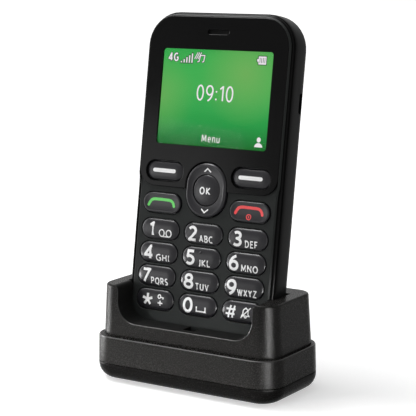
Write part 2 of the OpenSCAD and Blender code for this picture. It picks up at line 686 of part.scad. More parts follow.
// Removable back cover.
module back_cover() color("#242627") on_phone() difference() {
    phone_form();
    translate([0, phone_mid, parting - fit]) plate(phone_w + 2, phone_l + 2, corner_r, phone_t + 2);
    translate([0, phone_mid, back + back_wall]) plate(phone_w - 5, phone_l - 5, corner_r - 2.5, phone_t);
    translate([0, camera_up, back - 1]) cylinder(3, glass_r - 1, glass_r - 1);
    translate([0, camera_up, back - 1]) cylinder(1 + 0.7 + fit, glass_r + fit, glass_r + fit);
    translate([0, assist_up, back - 1]) cylinder(3, assist_r + key_gap, assist_r + key_gap);
    translate([0, -speaker_drop, back - 1]) sound_slots(3);
}

// Four screws that hold the rear housing and the board to the front housing.
module housing_screws() color("#9a9da0") on_phone() at_screws() {
    bearing = chassis_top - 1.4;
    translate([0, 0, bearing - head_t]) difference() {
        cylinder(head_t, head_r, head_r);
        cube([2.4, 0.5, 1.2], center = true);
        cube([0.5, 2.4, 1.2], center = true);
    }
    translate([0, 0, bearing]) cylinder(face_top - 0.8 - bearing, screw_r, screw_r);
}

// ---- cradle ----

// Pocket that the phone stands in, grown by d.
module pocket(d) on_phone()
    translate([0, pocket_low - d + big / 2, pocket_back - d])
        plate(phone_w + 2 * (pocket_gap + d), big, corner_r + pocket_gap + d, pocket_top - pocket_back + 2 * d);

// Window between the posts, grown by d, cut straight back from the front.
module window(d) {
    half = window_w / 2 + d;
    low = window_z - d;
    r = window_r + d;
    translate([0, window_end, 0]) rotate([90, 0, 0]) linear_extrude(base_d) {
        translate([-half, low + r]) square([2 * half, big]);
        translate([r - half, low]) square([2 * (half - r), r + 1]);
        for (side = [-1, 1]) translate([side * (half - r), low + r]) circle(r);
    }
}

// Rounding where the window's sides meet the flat top.
module window_flare() {
    half = window_w / 2;
    translate([0, window_end, 0]) rotate([90, 0, 0]) linear_extrude(base_d) difference() {
        translate([-half - post_roll, cover_z - post_roll]) square([2 * (half + post_roll), post_roll + 1]);
        for (side = [-1, 1]) translate([side * (half + post_roll), cover_z - post_roll]) circle(post_roll);
    }
}

// Places the children at the cradle's four screws.
module at_cradle_screws()
    for (side = [-1, 1], y = [front_screw_y, back_screw_y]) translate([side * screw_x, y, 0]) children();

// Opening for the power inlet, through the back.
module inlet_opening(w, h)
    translate([-w / 2, 0, deck_z + deck[2] + inlet[2] / 2 - h / 2]) cube([w, base_d, h]);

// Cover: the upper body with the phone's pocket and the window in its front.
module cradle_cover() color("#1d1d1e") difference() {
    translate([0, cover_back, 0]) {
        translate([0, 0, ledge_z]) drawn_block(cover_w, cover_d, cover_r, cover_inset, cover_z - ledge_z);
        translate([0, 0, skirt_z]) plate(cover_w, cover_d, cover_r, ledge_z - skirt_z);
        translate([0, 0, skirt_z])
            plate(cover_w + 2 * flange_out, cover_d + 2 * flange_out, cover_r + flange_out, flange_t);
    }
    difference() {
        translate([0, cover_back, 0]) {
            inner_r = cover_r - cradle_wall;
            translate([0, 0, ledge_z]) drawn_block(cover_w - 2 * cradle_wall, cover_d - 2 * cradle_wall,
                inner_r, cover_inset, cover_z - cradle_wall - ledge_z);
            translate([0, 0, skirt_z - 1])
                plate(cover_w - 2 * cradle_wall, cover_d - 2 * cradle_wall, inner_r, ledge_z - skirt_z + 1);
        }
        pocket(cradle_wall);
        window(cradle_wall);
        for (side = [-1, 1]) {
            translate([side * screw_x, front_screw_y, 0]) cylinder(boss_front_z, cradle_boss_r, cradle_boss_r);
            translate([side * screw_x, back_screw_y, 0]) cylinder(cover_z, cradle_boss_r, cradle_boss_r);
        }
    }
    pocket(0);
    window(0);
    window_flare();
    at_cradle_screws() cylinder(cradle_screw_top + 0.6, cradle_screw_r + run, cradle_screw_r + run);
    inlet_opening(inlet[0] + 2 * loose, inlet[2] + 2 * loose);
    on_phone() for (side = [-1, 1]) translate([side * pin_out, 0, contact_level]) rotate([90, 0, 0])
        translate([0, 0, -pocket_low - 1]) cylinder(cradle_wall + 2, pin_r + loose, pin_r + loose);
    translate([-notch[0] / 2, seat_y - notch[1] - 3.2, window_z - notch[2]]) cube([notch[0], notch[1], 2]);
}

// Ring: the wide band around the cover's foot.
module cradle_ring() color("#202021") difference() {
    translate([0, 0, seam_z]) drawn_block(base_w, base_d, base_r, ring_inset, ledge_z - seam_z);
    translate([0, cover_back, seam_z - 1])
        plate(cover_w + 2 * loose, cover_d + 2 * loose, cover_r + loose, ledge_z - seam_z + 2);
    translate([0, cover_back, seam_z - 1]) plate(cover_w + 2 * (flange_out + loose),
        cover_d + 2 * (flange_out + loose), cover_r + flange_out + loose, skirt_z - seam_z + flange_t + fit + 1);
    inlet_opening(plug_room[0], plug_room[1]);
}

// Bottom tray with the posts for the screws and for the charging board.
module bottom_tray() color("#1a1a1b") difference() {
    union() {
        difference() {
            translate([0, 0, tray_z]) rolled_block(base_w, base_d, base_r, seam_z - tray_z, 0, tray_roll);
            translate([0, 0, tray_floor]) rolled_block(base_w - 2 * cradle_wall, base_d - 2 * cradle_wall,
                base_r - cradle_wall, seam_z, 0, tray_roll - cradle_wall);
        }
        at_cradle_screws() translate([0, 0, tray_z + 0.6]) cylinder(skirt_z - tray_z - 0.6, post_r, post_r);
        for (side = [-1, 1]) translate([side * deck_post[0], deck_post[1], tray_z + 0.6])
            cylinder(deck_z - tray_z - 0.6, deck_post_r, deck_post_r);
    }
    translate([0, 0, tray_z - 1]) plate(pad_w + 2 * loose, pad_d + 2 * loose, 4, pad_t - pad_out + 1);
    at_cradle_screws() cylinder(cradle_head_z, head_r + loose, head_r + loose);
    at_cradle_screws() cylinder(big, cradle_screw_r + loose, cradle_screw_r + loose);
}

// Rubber pad that the cradle stands on.
module foot_pad() color("#2a2a2a") plate(pad_w, pad_d, 3.8, pad_t);

// Four screws from below, under the pad.
module cradle_screws() color("#9a9da0") at_cradle_screws() {
    translate([0, 0, cradle_head_z - head_t]) difference() {
        cylinder(head_t, head_r, head_r);
        cube([2.4, 0.5, 1.2], center = true);
        cube([0.5, 2.4, 1.2], center = true);
    }
    translate([0, 0, cradle_head_z]) cylinder(cradle_screw_top - cradle_head_z, cradle_screw_r, cradle_screw_r);
}

// Steel weight on the tray's floor.
module ballast_plate() color("#7d8083")
    translate([0, (ballast_low + ballast_high) / 2, tray_floor]) plate(ballast[0], ballast[1], 2, ballast[2]);

// Charging board behind the pocket, on the tray's two posts.
module cradle_board() color("#1f5a37") translate([0, deck_y, deck_z]) plate(deck[0], deck[1], 1, deck[2]);

// Power inlet on the board, open to the back.
module power_inlet() color("#8f9194") {
    mouth = cover_back_y;
    level = deck_z + deck[2] + inlet[2] / 2;
    difference() {
        translate([0, mouth - inlet[1], level]) rotate([-90, 0, 0]) plate(inlet[0], inlet[2], 0.9, inlet[1]);
        translate([0, mouth - inlet[1] + 1, level]) rotate([-90, 0, 0])
            plate(inlet[0] - 0.6, inlet[2] - 0.6, 0.7, inlet[1]);
    }
    translate([0, mouth - inlet[1] + 2.2, level]) cube([inlet[0] - 2.6, 3.4, 0.6], center = true);
}

// Block under the pocket's floor that carries the two charging pins.
module contact_block() color("#2e2f31") on_phone() difference() {
    translate([0, tub_low - block[2] / 2, contact_level]) cube([block[0], block[2], block[1]], center = true);
    for (side = [-1, 1]) translate([side * pin_out, tub_low, contact_level]) rotate([90, 0, 0]) {
        translate([0, 0, -1]) cylinder(block[2], pin_r + run, pin_r + run);
        translate([0, 0, pin_shoulder - cradle_wall - fit]) cylinder(block[2] - pin_shoulder + cradle_wall - 0.5,
            pin_flange_r + fit, pin_flange_r + fit);
    }
}

// Sprung charging pins.
module contact_pin(side) color("#d1ac4f") on_phone()
    translate([side * pin_out, phone_low + contact_sunk - run, contact_level]) rotate([90, 0, 0]) {
        top = contact_sunk - run + pocket_gap;
        cylinder(0.4, pin_r - 0.3, pin_r);
        translate([0, 0, 0.4]) cylinder(top + pin_shoulder + 0.4, pin_r, pin_r);
        translate([0, 0, top + pin_shoulder]) cylinder(0.8, pin_flange_r, pin_flange_r);
    }
module contact_pin_left() contact_pin(-1);
module contact_pin_right() contact_pin(1);

// Flat flexible lead from the pins to the charging board.
module contact_flex() color("#b98a4a") {
    turn_y = deck_front + 2;
    low_z = deck_z - 1.5;
    rotate([90, 0, 90]) linear_extrude(flex[0], center = true)
        polygon([[0.4, low_z], [turn_y, low_z], [turn_y, deck_z - fit / 2], [turn_y - flex[1], deck_z - fit / 2],
            [turn_y - flex[1], low_z + flex[1]], [0.4, low_z + flex[1]]]);
}

front_housing();
front_panel();
screen_window();
lcd_glass();
backlight();
earpiece_mesh();
earpiece();
microphone();
key_1();
key_2();
key_3();
key_4();
key_5();
key_6();
key_7();
key_8();
key_9();
key_star();
key_0();
key_hash();
soft_key_left();
soft_key_right();
call_key();
end_key();
nav_pad();
ok_key();
key_web();
dome_sheet();
main_board();
shield_can();
vibration_motor();
loudspeaker();
camera_module();
camera_window();
sim_holder();
battery_contacts();
battery_pack();
side_port();
volume_rocker();
assist_key();
antenna_strip();
charge_contacts();
rear_housing();
back_cover();
housing_screws();
cradle_cover();
cradle_ring();
bottom_tray();
foot_pad();
cradle_screws();
ballast_plate();
cradle_board();
power_inlet();
contact_block();
contact_pin_left();
contact_pin_right();
contact_flex();
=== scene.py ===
# %% [markdown]
# # A keypad phone standing in its charging cradle
# The real object is two things in one: a keypad mobile phone and the small desk cradle that
# charges it. A measured model of all its parts exists already. This lesson gives every part its
# true surface: rolled edges, domed keys, printed legends and moulded grain. Nothing is moved or
# resized: each new piece takes its place and its size from the measured part that it stands for.

# %% Load the measured frame
import json
from functools import partial
from math import cos, pi, radians, sin, sqrt

import bmesh
import bpy
from mathutils import Matrix, Vector
from mathutils.bvhtree import BVHTree
from mathutils.geometry import delaunay_2d_cdt

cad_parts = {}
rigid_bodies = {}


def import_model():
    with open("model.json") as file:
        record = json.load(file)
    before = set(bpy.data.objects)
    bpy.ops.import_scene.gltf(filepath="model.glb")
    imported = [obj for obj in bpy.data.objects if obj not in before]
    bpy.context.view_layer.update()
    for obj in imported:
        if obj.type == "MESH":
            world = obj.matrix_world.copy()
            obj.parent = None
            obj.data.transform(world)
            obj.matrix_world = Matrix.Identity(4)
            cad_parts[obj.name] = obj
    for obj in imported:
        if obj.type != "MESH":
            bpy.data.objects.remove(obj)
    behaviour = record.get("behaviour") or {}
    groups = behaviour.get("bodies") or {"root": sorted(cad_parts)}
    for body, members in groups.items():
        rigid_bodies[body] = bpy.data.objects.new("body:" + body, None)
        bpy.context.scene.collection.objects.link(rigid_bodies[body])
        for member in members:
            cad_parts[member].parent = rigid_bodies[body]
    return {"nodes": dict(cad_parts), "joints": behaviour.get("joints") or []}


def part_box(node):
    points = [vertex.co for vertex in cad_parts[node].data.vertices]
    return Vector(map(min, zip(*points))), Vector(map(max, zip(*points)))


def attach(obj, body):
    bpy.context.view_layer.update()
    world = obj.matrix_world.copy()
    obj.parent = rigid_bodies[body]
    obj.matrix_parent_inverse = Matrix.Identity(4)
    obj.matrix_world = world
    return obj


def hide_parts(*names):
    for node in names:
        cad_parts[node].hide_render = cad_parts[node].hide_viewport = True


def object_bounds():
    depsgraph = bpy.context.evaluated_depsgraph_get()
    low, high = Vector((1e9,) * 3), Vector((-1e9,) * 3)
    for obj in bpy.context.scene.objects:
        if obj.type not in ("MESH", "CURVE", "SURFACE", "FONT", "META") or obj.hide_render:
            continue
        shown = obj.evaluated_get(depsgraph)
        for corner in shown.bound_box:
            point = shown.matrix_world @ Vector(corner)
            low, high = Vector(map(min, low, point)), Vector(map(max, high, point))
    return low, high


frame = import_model()
cad_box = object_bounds()
scene = bpy.context.scene

# %% [markdown]
# ## Two working frames
# The cradle stands square on the table, but the phone leans back in it. A modeller would draw the
# phone flat and lean it afterwards, so that a key is a shape seen from straight in front. Here the
# same is done with a matrix: U runs to the right, V up the phone and W out of its face, in
# millimetres, with zero in the middle of the screen. The phone's lift joint and a key's press
# joint give the directions exactly.

# %% The phone's frame and the cradle's frame
MM = 0.001
joints = {joint["name"]: joint for joint in frame["joints"]}
ACROSS = Vector((1, 0, 0))
ALONG = Vector(joints["phone_lift"]["axis"])
OUTWARD = -Vector(joints["key_1_press"]["axis"])


def spread(node, axis):
    """Where a node starts and ends along an axis."""
    reach = [vertex.co.dot(axis) for vertex in frame["nodes"][node].data.vertices]
    return min(reach), max(reach)


window_low, window_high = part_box("screen_window")
window_back = spread("screen_window", OUTWARD)[0]
window_middle = (window_low + window_high) / 2
screen_centre = window_middle + (window_back - window_middle.dot(OUTWARD)) * OUTWARD
turn_in = Matrix((ACROSS, ALONG, OUTWARD)).transposed().to_4x4()
PHONE = Matrix.Translation(screen_centre) @ turn_in @ Matrix.Scale(MM, 4)
CRADLE = Matrix.Scale(MM, 4)


class Box:
    """The extent of a measured node in a working frame, in millimetres."""

    def __init__(self, node, place=PHONE):
        back = place.inverted()
        spots = [back @ vertex.co for vertex in frame["nodes"][node].data.vertices]
        self.low = Vector(min(spot[i] for spot in spots) for i in range(3))
        self.high = Vector(max(spot[i] for spot in spots) for i in range(3))
        self.size = self.high - self.low
        self.middle = (self.low + self.high) / 2


housing = Box("front_housing")
print("screen centre at", [round(v / MM, 2) for v in screen_centre], "mm, housing", housing.size)

# %% [markdown]
# ## Camera
# The camera looks at the phone from its right and from a little above, with a long lens, so that
# upright edges stay almost parallel. Its place is given in millimetres from the middle of the
# screen, and its direction as a turn, a tip and a roll.

# %% Camera
CAMERA_PLACE = (315.841, -486.373, 61.067)
CAMERA_TURN, CAMERA_TIP, CAMERA_ROLL = (radians(angle) for angle in (33.264, 10.073, -0.443))
FOCAL_LENGTH, SENSOR_WIDTH = 133.59, 36
camera_data = bpy.data.cameras.new("product_camera")
camera = bpy.data.objects.new("product_camera", camera_data)
scene.collection.objects.link(camera)
scene.camera = camera
camera_data.lens, camera_data.sensor_width = FOCAL_LENGTH, SENSOR_WIDTH
camera_data.clip_start, camera_data.clip_end = 0.05, 20
view_forward = Vector((-sin(CAMERA_TURN) * cos(CAMERA_TIP),
                       cos(CAMERA_TURN) * cos(CAMERA_TIP), -sin(CAMERA_TIP)))
view_level = Vector((cos(CAMERA_TURN), sin(CAMERA_TURN), 0))
view_upright = view_level.cross(view_forward)
view_right = cos(CAMERA_ROLL) * view_level + sin(CAMERA_ROLL) * view_upright
view_up = cos(CAMERA_ROLL) * view_upright - sin(CAMERA_ROLL) * view_level
camera.matrix_world = (
    Matrix.Translation(screen_centre + MM * Vector(CAMERA_PLACE))
    @ Matrix((view_right, view_up, -view_forward)).transposed().to_4x4()
)
print("camera", round((camera.location - screen_centre).length, 3), "m from the screen")

# %% [markdown]
# ## Shader arithmetic
# A material is a network of nodes. Drawn by hand it soon becomes unreadable, so two small classes
# let it be written as plain expressions: `Link` wraps a node's output and turns + - * into Math
# nodes, and `Finish` holds the material that is being made and adds any other node in one call.


# %% Link
class Link:
    """A node's output. Arithmetic on it adds Math nodes to its material."""

    def __init__(self, finish, socket):
        self.finish = finish
        self.socket = socket

    def __add__(self, other):
        return self.finish.math("ADD", self, other)

    def __sub__(self, other):
        return self.finish.math("SUBTRACT", self, other)

    def __rsub__(self, other):
        return self.finish.math("SUBTRACT", other, self)

    def __mul__(self, other):
        return self.finish.math("MULTIPLY", self, other)

    __radd__ = __add__
    __rmul__ = __mul__


print("Link: shader values that can be added, subtracted and multiplied")

# %% [markdown]
# A material's nodes could also be placed by hand in the shader editor. Written down in a class they
# can be read, repeated and changed in one place. Every pattern here is measured in millimetres.


# %% Finish
class Finish:
    """A procedural material. Places are read in millimetres."""

    def __init__(self, name, owner=None):
        self.material = owner or bpy.data.materials.new(name)
        self.material.use_nodes = True
        self.tree = self.material.node_tree
        self.tree.nodes.clear()

    def node(self, kind, settings=None, values=None, output=0):
        """Adds a node: first its settings, then the values or links of its sockets."""
        node = self.tree.nodes.new(kind)
        for name, value in (settings or {}).items():
            if name == "stops":
                for spare in range(len(value) - 2):
                    node.color_ramp.elements.new(0.5)
                for element, (place, colour) in zip(node.color_ramp.elements, value):
                    element.position = place
                    element.color = (*colour, 1)
            else:
                setattr(node, name, value)
        for name, value in (values or {}).items():
            if isinstance(value, Link):
                self.tree.links.new(value.socket, node.inputs[name])
            else:
                node.inputs[name].default_value = value
        return Link(self, node.outputs[output]) if node.outputs else node

    def math(self, operation, *values):
        """A Math node of one, two or three values."""
        return self.node("ShaderNodeMath", {"operation": operation}, dict(enumerate(values)))

    def place(self, place=CRADLE):
        """The surface's own place, in millimetres of a working frame."""
        spot = self.node("ShaderNodeTexCoord", output="Object")
        back = place.inverted()
        return self.node("ShaderNodeMapping", {"vector_type": "POINT"}, {
            "Vector": spot, "Location": back.to_translation(),
            "Rotation": back.normalized().to_euler(), "Scale": (1 / MM,) * 3})

    def parts(self, vector):
        """The three numbers of a vector."""
        split = self.node("ShaderNodeSeparateXYZ", values={"Vector": vector})
        return [Link(self, output) for output in split.socket.node.outputs]

    def noise(self, size, detail=2, rough=0.5, stretch=(1, 1, 1)):
        """Soft random spots about size millimetres wide."""
        spot = self.node("ShaderNodeVectorMath", {"operation": "MULTIPLY"},
                         {0: self.place(), 1: stretch})
        return self.node("ShaderNodeTexNoise", values={
            "Vector": spot, "Scale": 1 / size, "Detail": detail, "Roughness": rough})

    def mix(self, share, first, second):
        """A colour between two others. A Mix node takes its colours in at 6 and 7, out at 2."""
        low, high = (tone if isinstance(tone, Link) else (*tone, 1) for tone in (first, second))
        return self.node("ShaderNodeMix", {"data_type": "RGBA"}, {0: share, 6: low, 7: high}, 2)

    def bump(self, height, depth):
        """A relief of so many millimetres."""
        return self.node("ShaderNodeBump", values={"Height": height, "Distance": depth * MM})

    def surface(self, **sockets):
        """The finished surface: one Principled shader with these sockets."""
        values = {name.replace("_", " "): value for name, value in sockets.items()}
        for name, value in values.items():
            if "Color" in name and not isinstance(value, Link):
                values[name] = (*value, 1)
        shader = self.node("ShaderNodeBsdfPrincipled", values=values, output=0)
        self.node("ShaderNodeOutputMaterial", values={"Surface": shader})
        return self.material


print("Finish: materials whose patterns are measured in millimetres")

# %% [markdown]
# ## Finishes
# Nearly everything here is moulded plastic in near-black tones, so the finishes differ in how they
# catch light. The cradle has a spark-eroded grain that breaks its highlights into fine sparkle, the
# keypad's face is matt and a little green, the panel is smooth, and the keys have a satin sheen.
# One function makes nearly all of them: two close tones mixed by soft noise, a roughness that
# varies a little, and a grain of a given size and depth. An image of plastic would be quicker, but
# it would stretch over the curved edges and repeat.


# %% Moulded plastic
def plastic(name, tone, rough, grain=0.25, depth=0.01, shine=0.5, mottle=0.12, bloom=0.06):
    """Moulded plastic: tone is its colour, grain and depth its texture in millimetres."""
    finish = Finish(name)
    broad = finish.noise(9, detail=3)
    fine = finish.noise(grain, detail=3, rough=0.6)
    darker = tuple(part * (1 - mottle) for part in tone)
    lighter = tuple(part * (1 + mottle) for part in tone)
    return finish.surface(
        Base_Color=finish.mix(broad * 0.6 + fine * 0.4, darker, lighter),
        Roughness=fine * bloom + broad * bloom + (rough - bloom),
        Normal=finish.bump(fine, depth),
        Specular_IOR_Level=shine,
    )


# Each has a name, a colour and a roughness, then most have their grain, its depth and a shine.
black_shell = plastic("black_shell", (0.0038, 0.0038, 0.0039), 0.34, 0.18, 0.003, 0.035)
keypad_face = plastic("keypad_face", (0.0155, 0.0172, 0.0166), 0.5, 0.3, 0.015, 0.08)
# Near-black with almost no shine, for the faces of grooves, slots and notches: painted shade.
painted_shade_black = plastic("painted_shade_black", (0.0030, 0.0030, 0.0030), 0.6, shine=0.01)
panel_black = plastic("panel_black", (0.0020, 0.0020, 0.0021), 0.16, 0.5, 0.001, 0.06)
key_plastic = plastic("key_plastic", (0.0130, 0.0124, 0.0148), 0.30, 0.2, 0.003, 0.22)
window_wall = plastic("window_wall", (0.0085, 0.0086, 0.0083), 0.45, 0.4, 0.006, 0.04)
# Lighter and shinier than the cradle's grain, for rolled edges of the ring and the U: a painted
# highlight.
painted_edge_highlight = plastic("painted_edge_highlight", (0.0200, 0.0195, 0.0186), 0.30, 0.4, 0.004, 0.2)
dark_part = plastic("dark_part", (0.02, 0.02, 0.022), 0.5)
rubber_foot = plastic("rubber_foot", (0.022, 0.022, 0.022), 0.8, 0.5, 0.03, 0.25)
silicone = plastic("silicone", (0.17, 0.175, 0.18), 0.6, 0.6)
light_box = plastic("light_box", (0.78, 0.78, 0.75), 0.45, 0.8, 0.004, mottle=0.04)
wrap_white = plastic("wrap_white", (0.6, 0.6, 0.58), 0.35, 1.2, mottle=0.05)
print_white = plastic("print_white", (0.84, 0.84, 0.84), 0.5, depth=0.003, mottle=0.03)
print_green = plastic("print_green", (0.105, 0.60, 0.10), 0.45, depth=0.003, mottle=0.06)
print_red = plastic("print_red", (0.80, 0.045, 0.05), 0.45, depth=0.003, mottle=0.06)
print("plastics:", len(bpy.data.materials))

# %% [markdown]
# The cradle's mould was eroded by sparks, which leaves fine pits all over the cradle. Modelling
# them would take millions of faces. Noise with a steep threshold gives the same specks, and the
# same noise drives their relief and their roughness.


# %% Spark-eroded plastic
def eroded(name, dark, light, shine):
    """Spark-eroded plastic: fine pits that catch the light as specks."""
    finish = Finish(name)
    pits = finish.noise(0.36, detail=3, rough=0.7)
    spark = finish.math("MINIMUM", finish.math("MAXIMUM", pits * 5 - 2.4, 0.0), 1.0)
    return finish.surface(
        Base_Color=finish.mix(spark, dark, light),
        Roughness=spark * 0.12 + 0.22,
        Normal=finish.bump(pits, 0.08),
        Specular_IOR_Level=shine,
    )


cradle_grain = eroded("cradle_grain", (0.0115, 0.0111, 0.0106), (0.0370, 0.0358, 0.0343), 0.03)
# The tray takes the same grain in darker tones and less shine: painted shade on its rolled foot.
tray_grain_painted_shade = eroded("tray_grain_painted_shade", (0.0035, 0.0034, 0.0032), (0.0140, 0.0135, 0.0130), 0.02)
print("with the cradle's grains:", len(bpy.data.materials))

# %% [markdown]
# Metal parts sit inside the phone and under the cradle, apart from the sockets and the charging
# contacts. They are brushed or plated: fine lines along one direction, in the roughness and in the
# relief. The boards are lacquered, with copper traces showing under the lacquer. The traces could
# be drawn one by one, but a sine wave bent by noise looks as busy and needs three nodes.


# %% Metal and boards
def metal(name, tone, rough, stretch=(1, 12, 12)):
    """Plated or brushed metal with fine lines."""
    finish = Finish(name)
    lines = finish.noise(1.2, detail=3, stretch=stretch)
    darker = tuple(part * 0.8 for part in tone)
    return finish.surface(
        Base_Color=finish.mix(finish.noise(6), darker, tone),
        Metallic=1.0,
        Roughness=lines * 0.18 + (rough - 0.09),
        Normal=finish.bump(lines, 0.004),
    )


def printed_board(name, tone, trace):
    """Lacquered board or flex with wandering copper traces."""
    finish = Finish(name)
    across = finish.parts(finish.place())[0]
    lanes = finish.math("SINE", across * 5 + finish.noise(7) * 9)
    mask = finish.math("GREATER_THAN", lanes, 0.75)
    return finish.surface(
        Base_Color=finish.mix(mask, tone, trace),
        Roughness=finish.noise(3) * 0.1 + 0.3,
        Normal=finish.bump(mask, 0.01),
        Coat_Weight=0.4,
    )


steel = metal("steel", (0.62, 0.63, 0.65), 0.32)
gold = metal("gold", (0.83, 0.62, 0.27), 0.28)
board_green = printed_board("board_green", (0.012, 0.085, 0.035), (0.03, 0.16, 0.06))
flex_amber = printed_board("flex_amber", (0.42, 0.17, 0.03), (0.55, 0.27, 0.07))
print("all finishes so far:", len(bpy.data.materials))

# %% [markdown]
# ## Building closed shells from rings
# Moulded parts are made of outlines: a rounded rectangle at one depth, the same outline drawn in a
# little at the next. Modelling them ring by ring gives exact rolled edges and clean quads, where a
# boolean and a bevel would leave slivers. `Shell` keeps a mesh in millimetres. `band` joins two
# rings, `stack` raises one outline through many rings, `skin` fills a ring and leaves holes inside
# it, and `piece` hands the finished mesh to the scene. Edges round a flat skin stay sharp, so that
# the flat takes no shading from its edge.


# %% Shell
def crosses(spot, start, end):
    """Whether the side from start to end passes to the right of a spot."""
    if (start.y > spot.y) == (end.y > spot.y):
        return False
    return spot.x < start.x + (end.x - start.x) * (spot.y - start.y) / (end.y - start.y)


class Shell:
    """A closed mesh in the making, in millimetres of a working frame."""

    def __init__(self, data=None):
        self.mesh = bmesh.new()
        if data:
            self.mesh.from_mesh(data)
        layers = self.mesh.faces.layers.int
        if layers.get("flat"):
            layers.remove(layers.get("flat"))
        self.flat = layers.new("flat")

    def ring(self, points):
        return [self.mesh.verts.new(point) for point in points]

    def band(self, first, second, finish=0):
        """Quads between two rings of as many points."""
        for index in range(len(first)):
            after = (index + 1) % len(first)
            corners = (first[index], first[after], second[after], second[index])
            self.mesh.faces.new(corners).material_index = finish

    def loft(self, rings, finish=0):
        """Bands through rings of points, and the rings of vertices."""
        made = [self.ring(points) for points in rings]
        for first, second in zip(made, made[1:]):
            self.band(first, second, finish)
        return made

    def stack(self, outline, steps, finish=0):
        """A loft of one outline: each step has what the outline needs and the ring's level."""
        return self.loft([at_level(outline(change), level) for change, level in steps], finish)

    def line_holes(self, holes, finish=0):
        """Lines holes, given as outlines with their steps. Returns their first and last rings."""
        lined = [self.stack(outline, steps, finish) for outline, steps in holes]
        return [rings[0] for rings in lined], [rings[-1] for rings in lined]

    def close(self, *rings):
        """One face in each ring."""
        for ring in rings:
            self.mesh.faces.new(ring)

    def flat_face(self, corners, finish):
        face = self.mesh.faces.new(corners)
        face.material_index = finish
        face[self.flat] = 1

    def skin(self, *rings, finish=0):
        """A flat face inside the first ring, with the other rings as its holes."""
        if len(rings) == 1:
            self.flat_face(rings[0], finish)
            return
        corners = [vertex for ring in rings for vertex in ring]
        spots = [vertex.co.xy for vertex in corners]
        sides, start = [], 0
        for ring in rings:
            count = len(ring)
            sides += [(start + index, start + (index + 1) % count) for index in range(count)]
            start += count
        made = delaunay_2d_cdt(spots, sides, [], 1, 1e-6)
        for triangle in made[2]:
            middle = sum((made[0][index] for index in triangle), Vector((0, 0))) / 3
            crossings = sum(crosses(middle, spots[start], spots[end]) for start, end in sides)
            if crossings % 2:
                self.flat_face([corners[made[3][index][0]] for index in triangle], finish)

    def paint(self, finish):
        for face in self.mesh.faces:
            face.material_index = finish
        return self

    def moved(self, matrix):
        bmesh.ops.transform(self.mesh, matrix=matrix, verts=self.mesh.verts)
        return self

    def mark(self, sharp=38):
        """Joins what touches. Steep edges stay sharp, and so do those round a flat skin."""
        bmesh.ops.remove_doubles(self.mesh, verts=self.mesh.verts, dist=0.0005)
        bmesh.ops.recalc_face_normals(self.mesh, faces=self.mesh.faces)
        for edge in self.mesh.edges:
            sides = edge.link_faces
            edge.smooth = (
                edge.smooth and len(sides) == 2 and sides[0][self.flat] == sides[1][self.flat]
                and edge.calc_face_angle(0) < radians(sharp))

    def piece(self, name, place, body, finishes, nodes=(), slot=None, sharp=38):
        """Makes the object: it rides on its body and stands for its nodes."""
        self.mark(sharp)
        for face in self.mesh.faces:
            face.smooth = True
        self.mesh.faces.layers.int.remove(self.flat)
        self.moved(place)
        data = bpy.data.meshes.new(name)
        self.mesh.to_mesh(data)
        self.mesh.free()
        made = bpy.data.objects.new(name, data)
        scene.collection.objects.link(made)
        for finish in finishes:
            data.materials.append(finish)
        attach(made, body)
        if nodes:
            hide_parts(*nodes)
        return made


print("Shell: closed meshes from rings")

# %% [markdown]
# Every outline is a rounded rectangle or a circle with a fixed number of points, so that any two
# can be joined by quads. `growing` and `shrinking` hold an outline back until its size is known.
# That lets one short list of steps describe a rolled edge.


# %% Outlines
def rounded(width, length, radius, middle=(0, 0), steps=9):
    """A rounded rectangle, anticlockwise. It has as many points whatever its size."""
    points = []
    for corner, (side, end) in enumerate(((1, 1), (-1, 1), (-1, -1), (1, -1))):
        for step in range(steps + 1):
            turn = (corner + step / steps) * pi / 2
            points.append((
                middle[0] + side * (width / 2 - radius) + radius * cos(turn),
                middle[1] + end * (length / 2 - radius) + radius * sin(turn),
            ))
    return points


def growing(width, length, radius, middle=(0, 0), steps=9):
    """A rounded rectangle that waits to be told how far it grows."""
    return lambda grow: rounded(
        width + 2 * grow, length + 2 * grow, radius + grow, middle, steps)


def shrinking(*sizes):
    """A rounded rectangle that waits to be told how far it is drawn in."""
    return lambda inset: growing(*sizes)(-inset)


def circle(radius, middle, steps=9):
    return rounded(2 * radius, 2 * radius, radius, middle, steps)


def with_marks(points, marks):
    """The same outline with more points where its two long sides pass the marks."""
    made = []
    for start, end in zip(points, points[1:] + points[:1]):
        made.append(start)
        if abs(start[0] - end[0]) < 0.001:
            low, high = sorted((start[1], end[1]))
            passed = [mark for mark in marks if low < mark < high]
            made += [(start[0], mark) for mark in sorted(passed, reverse=end[1] < start[1])]
    return made


def at_level(points, level):
    return [(x, y, level) for x, y in points]


def smooth_step(value, low, high):
    """0 below low, 1 above high and an S between them."""
    share = min(max((value - low) / (high - low), 0), 1)
    return share * share * (3 - 2 * share)


print("a circle has", len(circle(1, (0, 0))), "points")

# %% [markdown]
# Where a hole runs across the rings, a block is cut out with a boolean modifier. The modifier could
# stay on the object, but its result is copied back into a `Shell`, which can then be cut again,
# painted and measured like any other.


# %% Cutters
def plug(*outlines):
    """A closed block between outlines of points, as a cutter."""
    cutter = Shell()
    loops = cutter.loft(outlines)
    cutter.close(loops[0], loops[-1])
    return cutter


def bar(outline, start, end):
    """A cutter that runs from front to back. Its outline is seen from the front."""
    return plug(*([(x, y, z) for x, z in outline] for y in (start, end)))


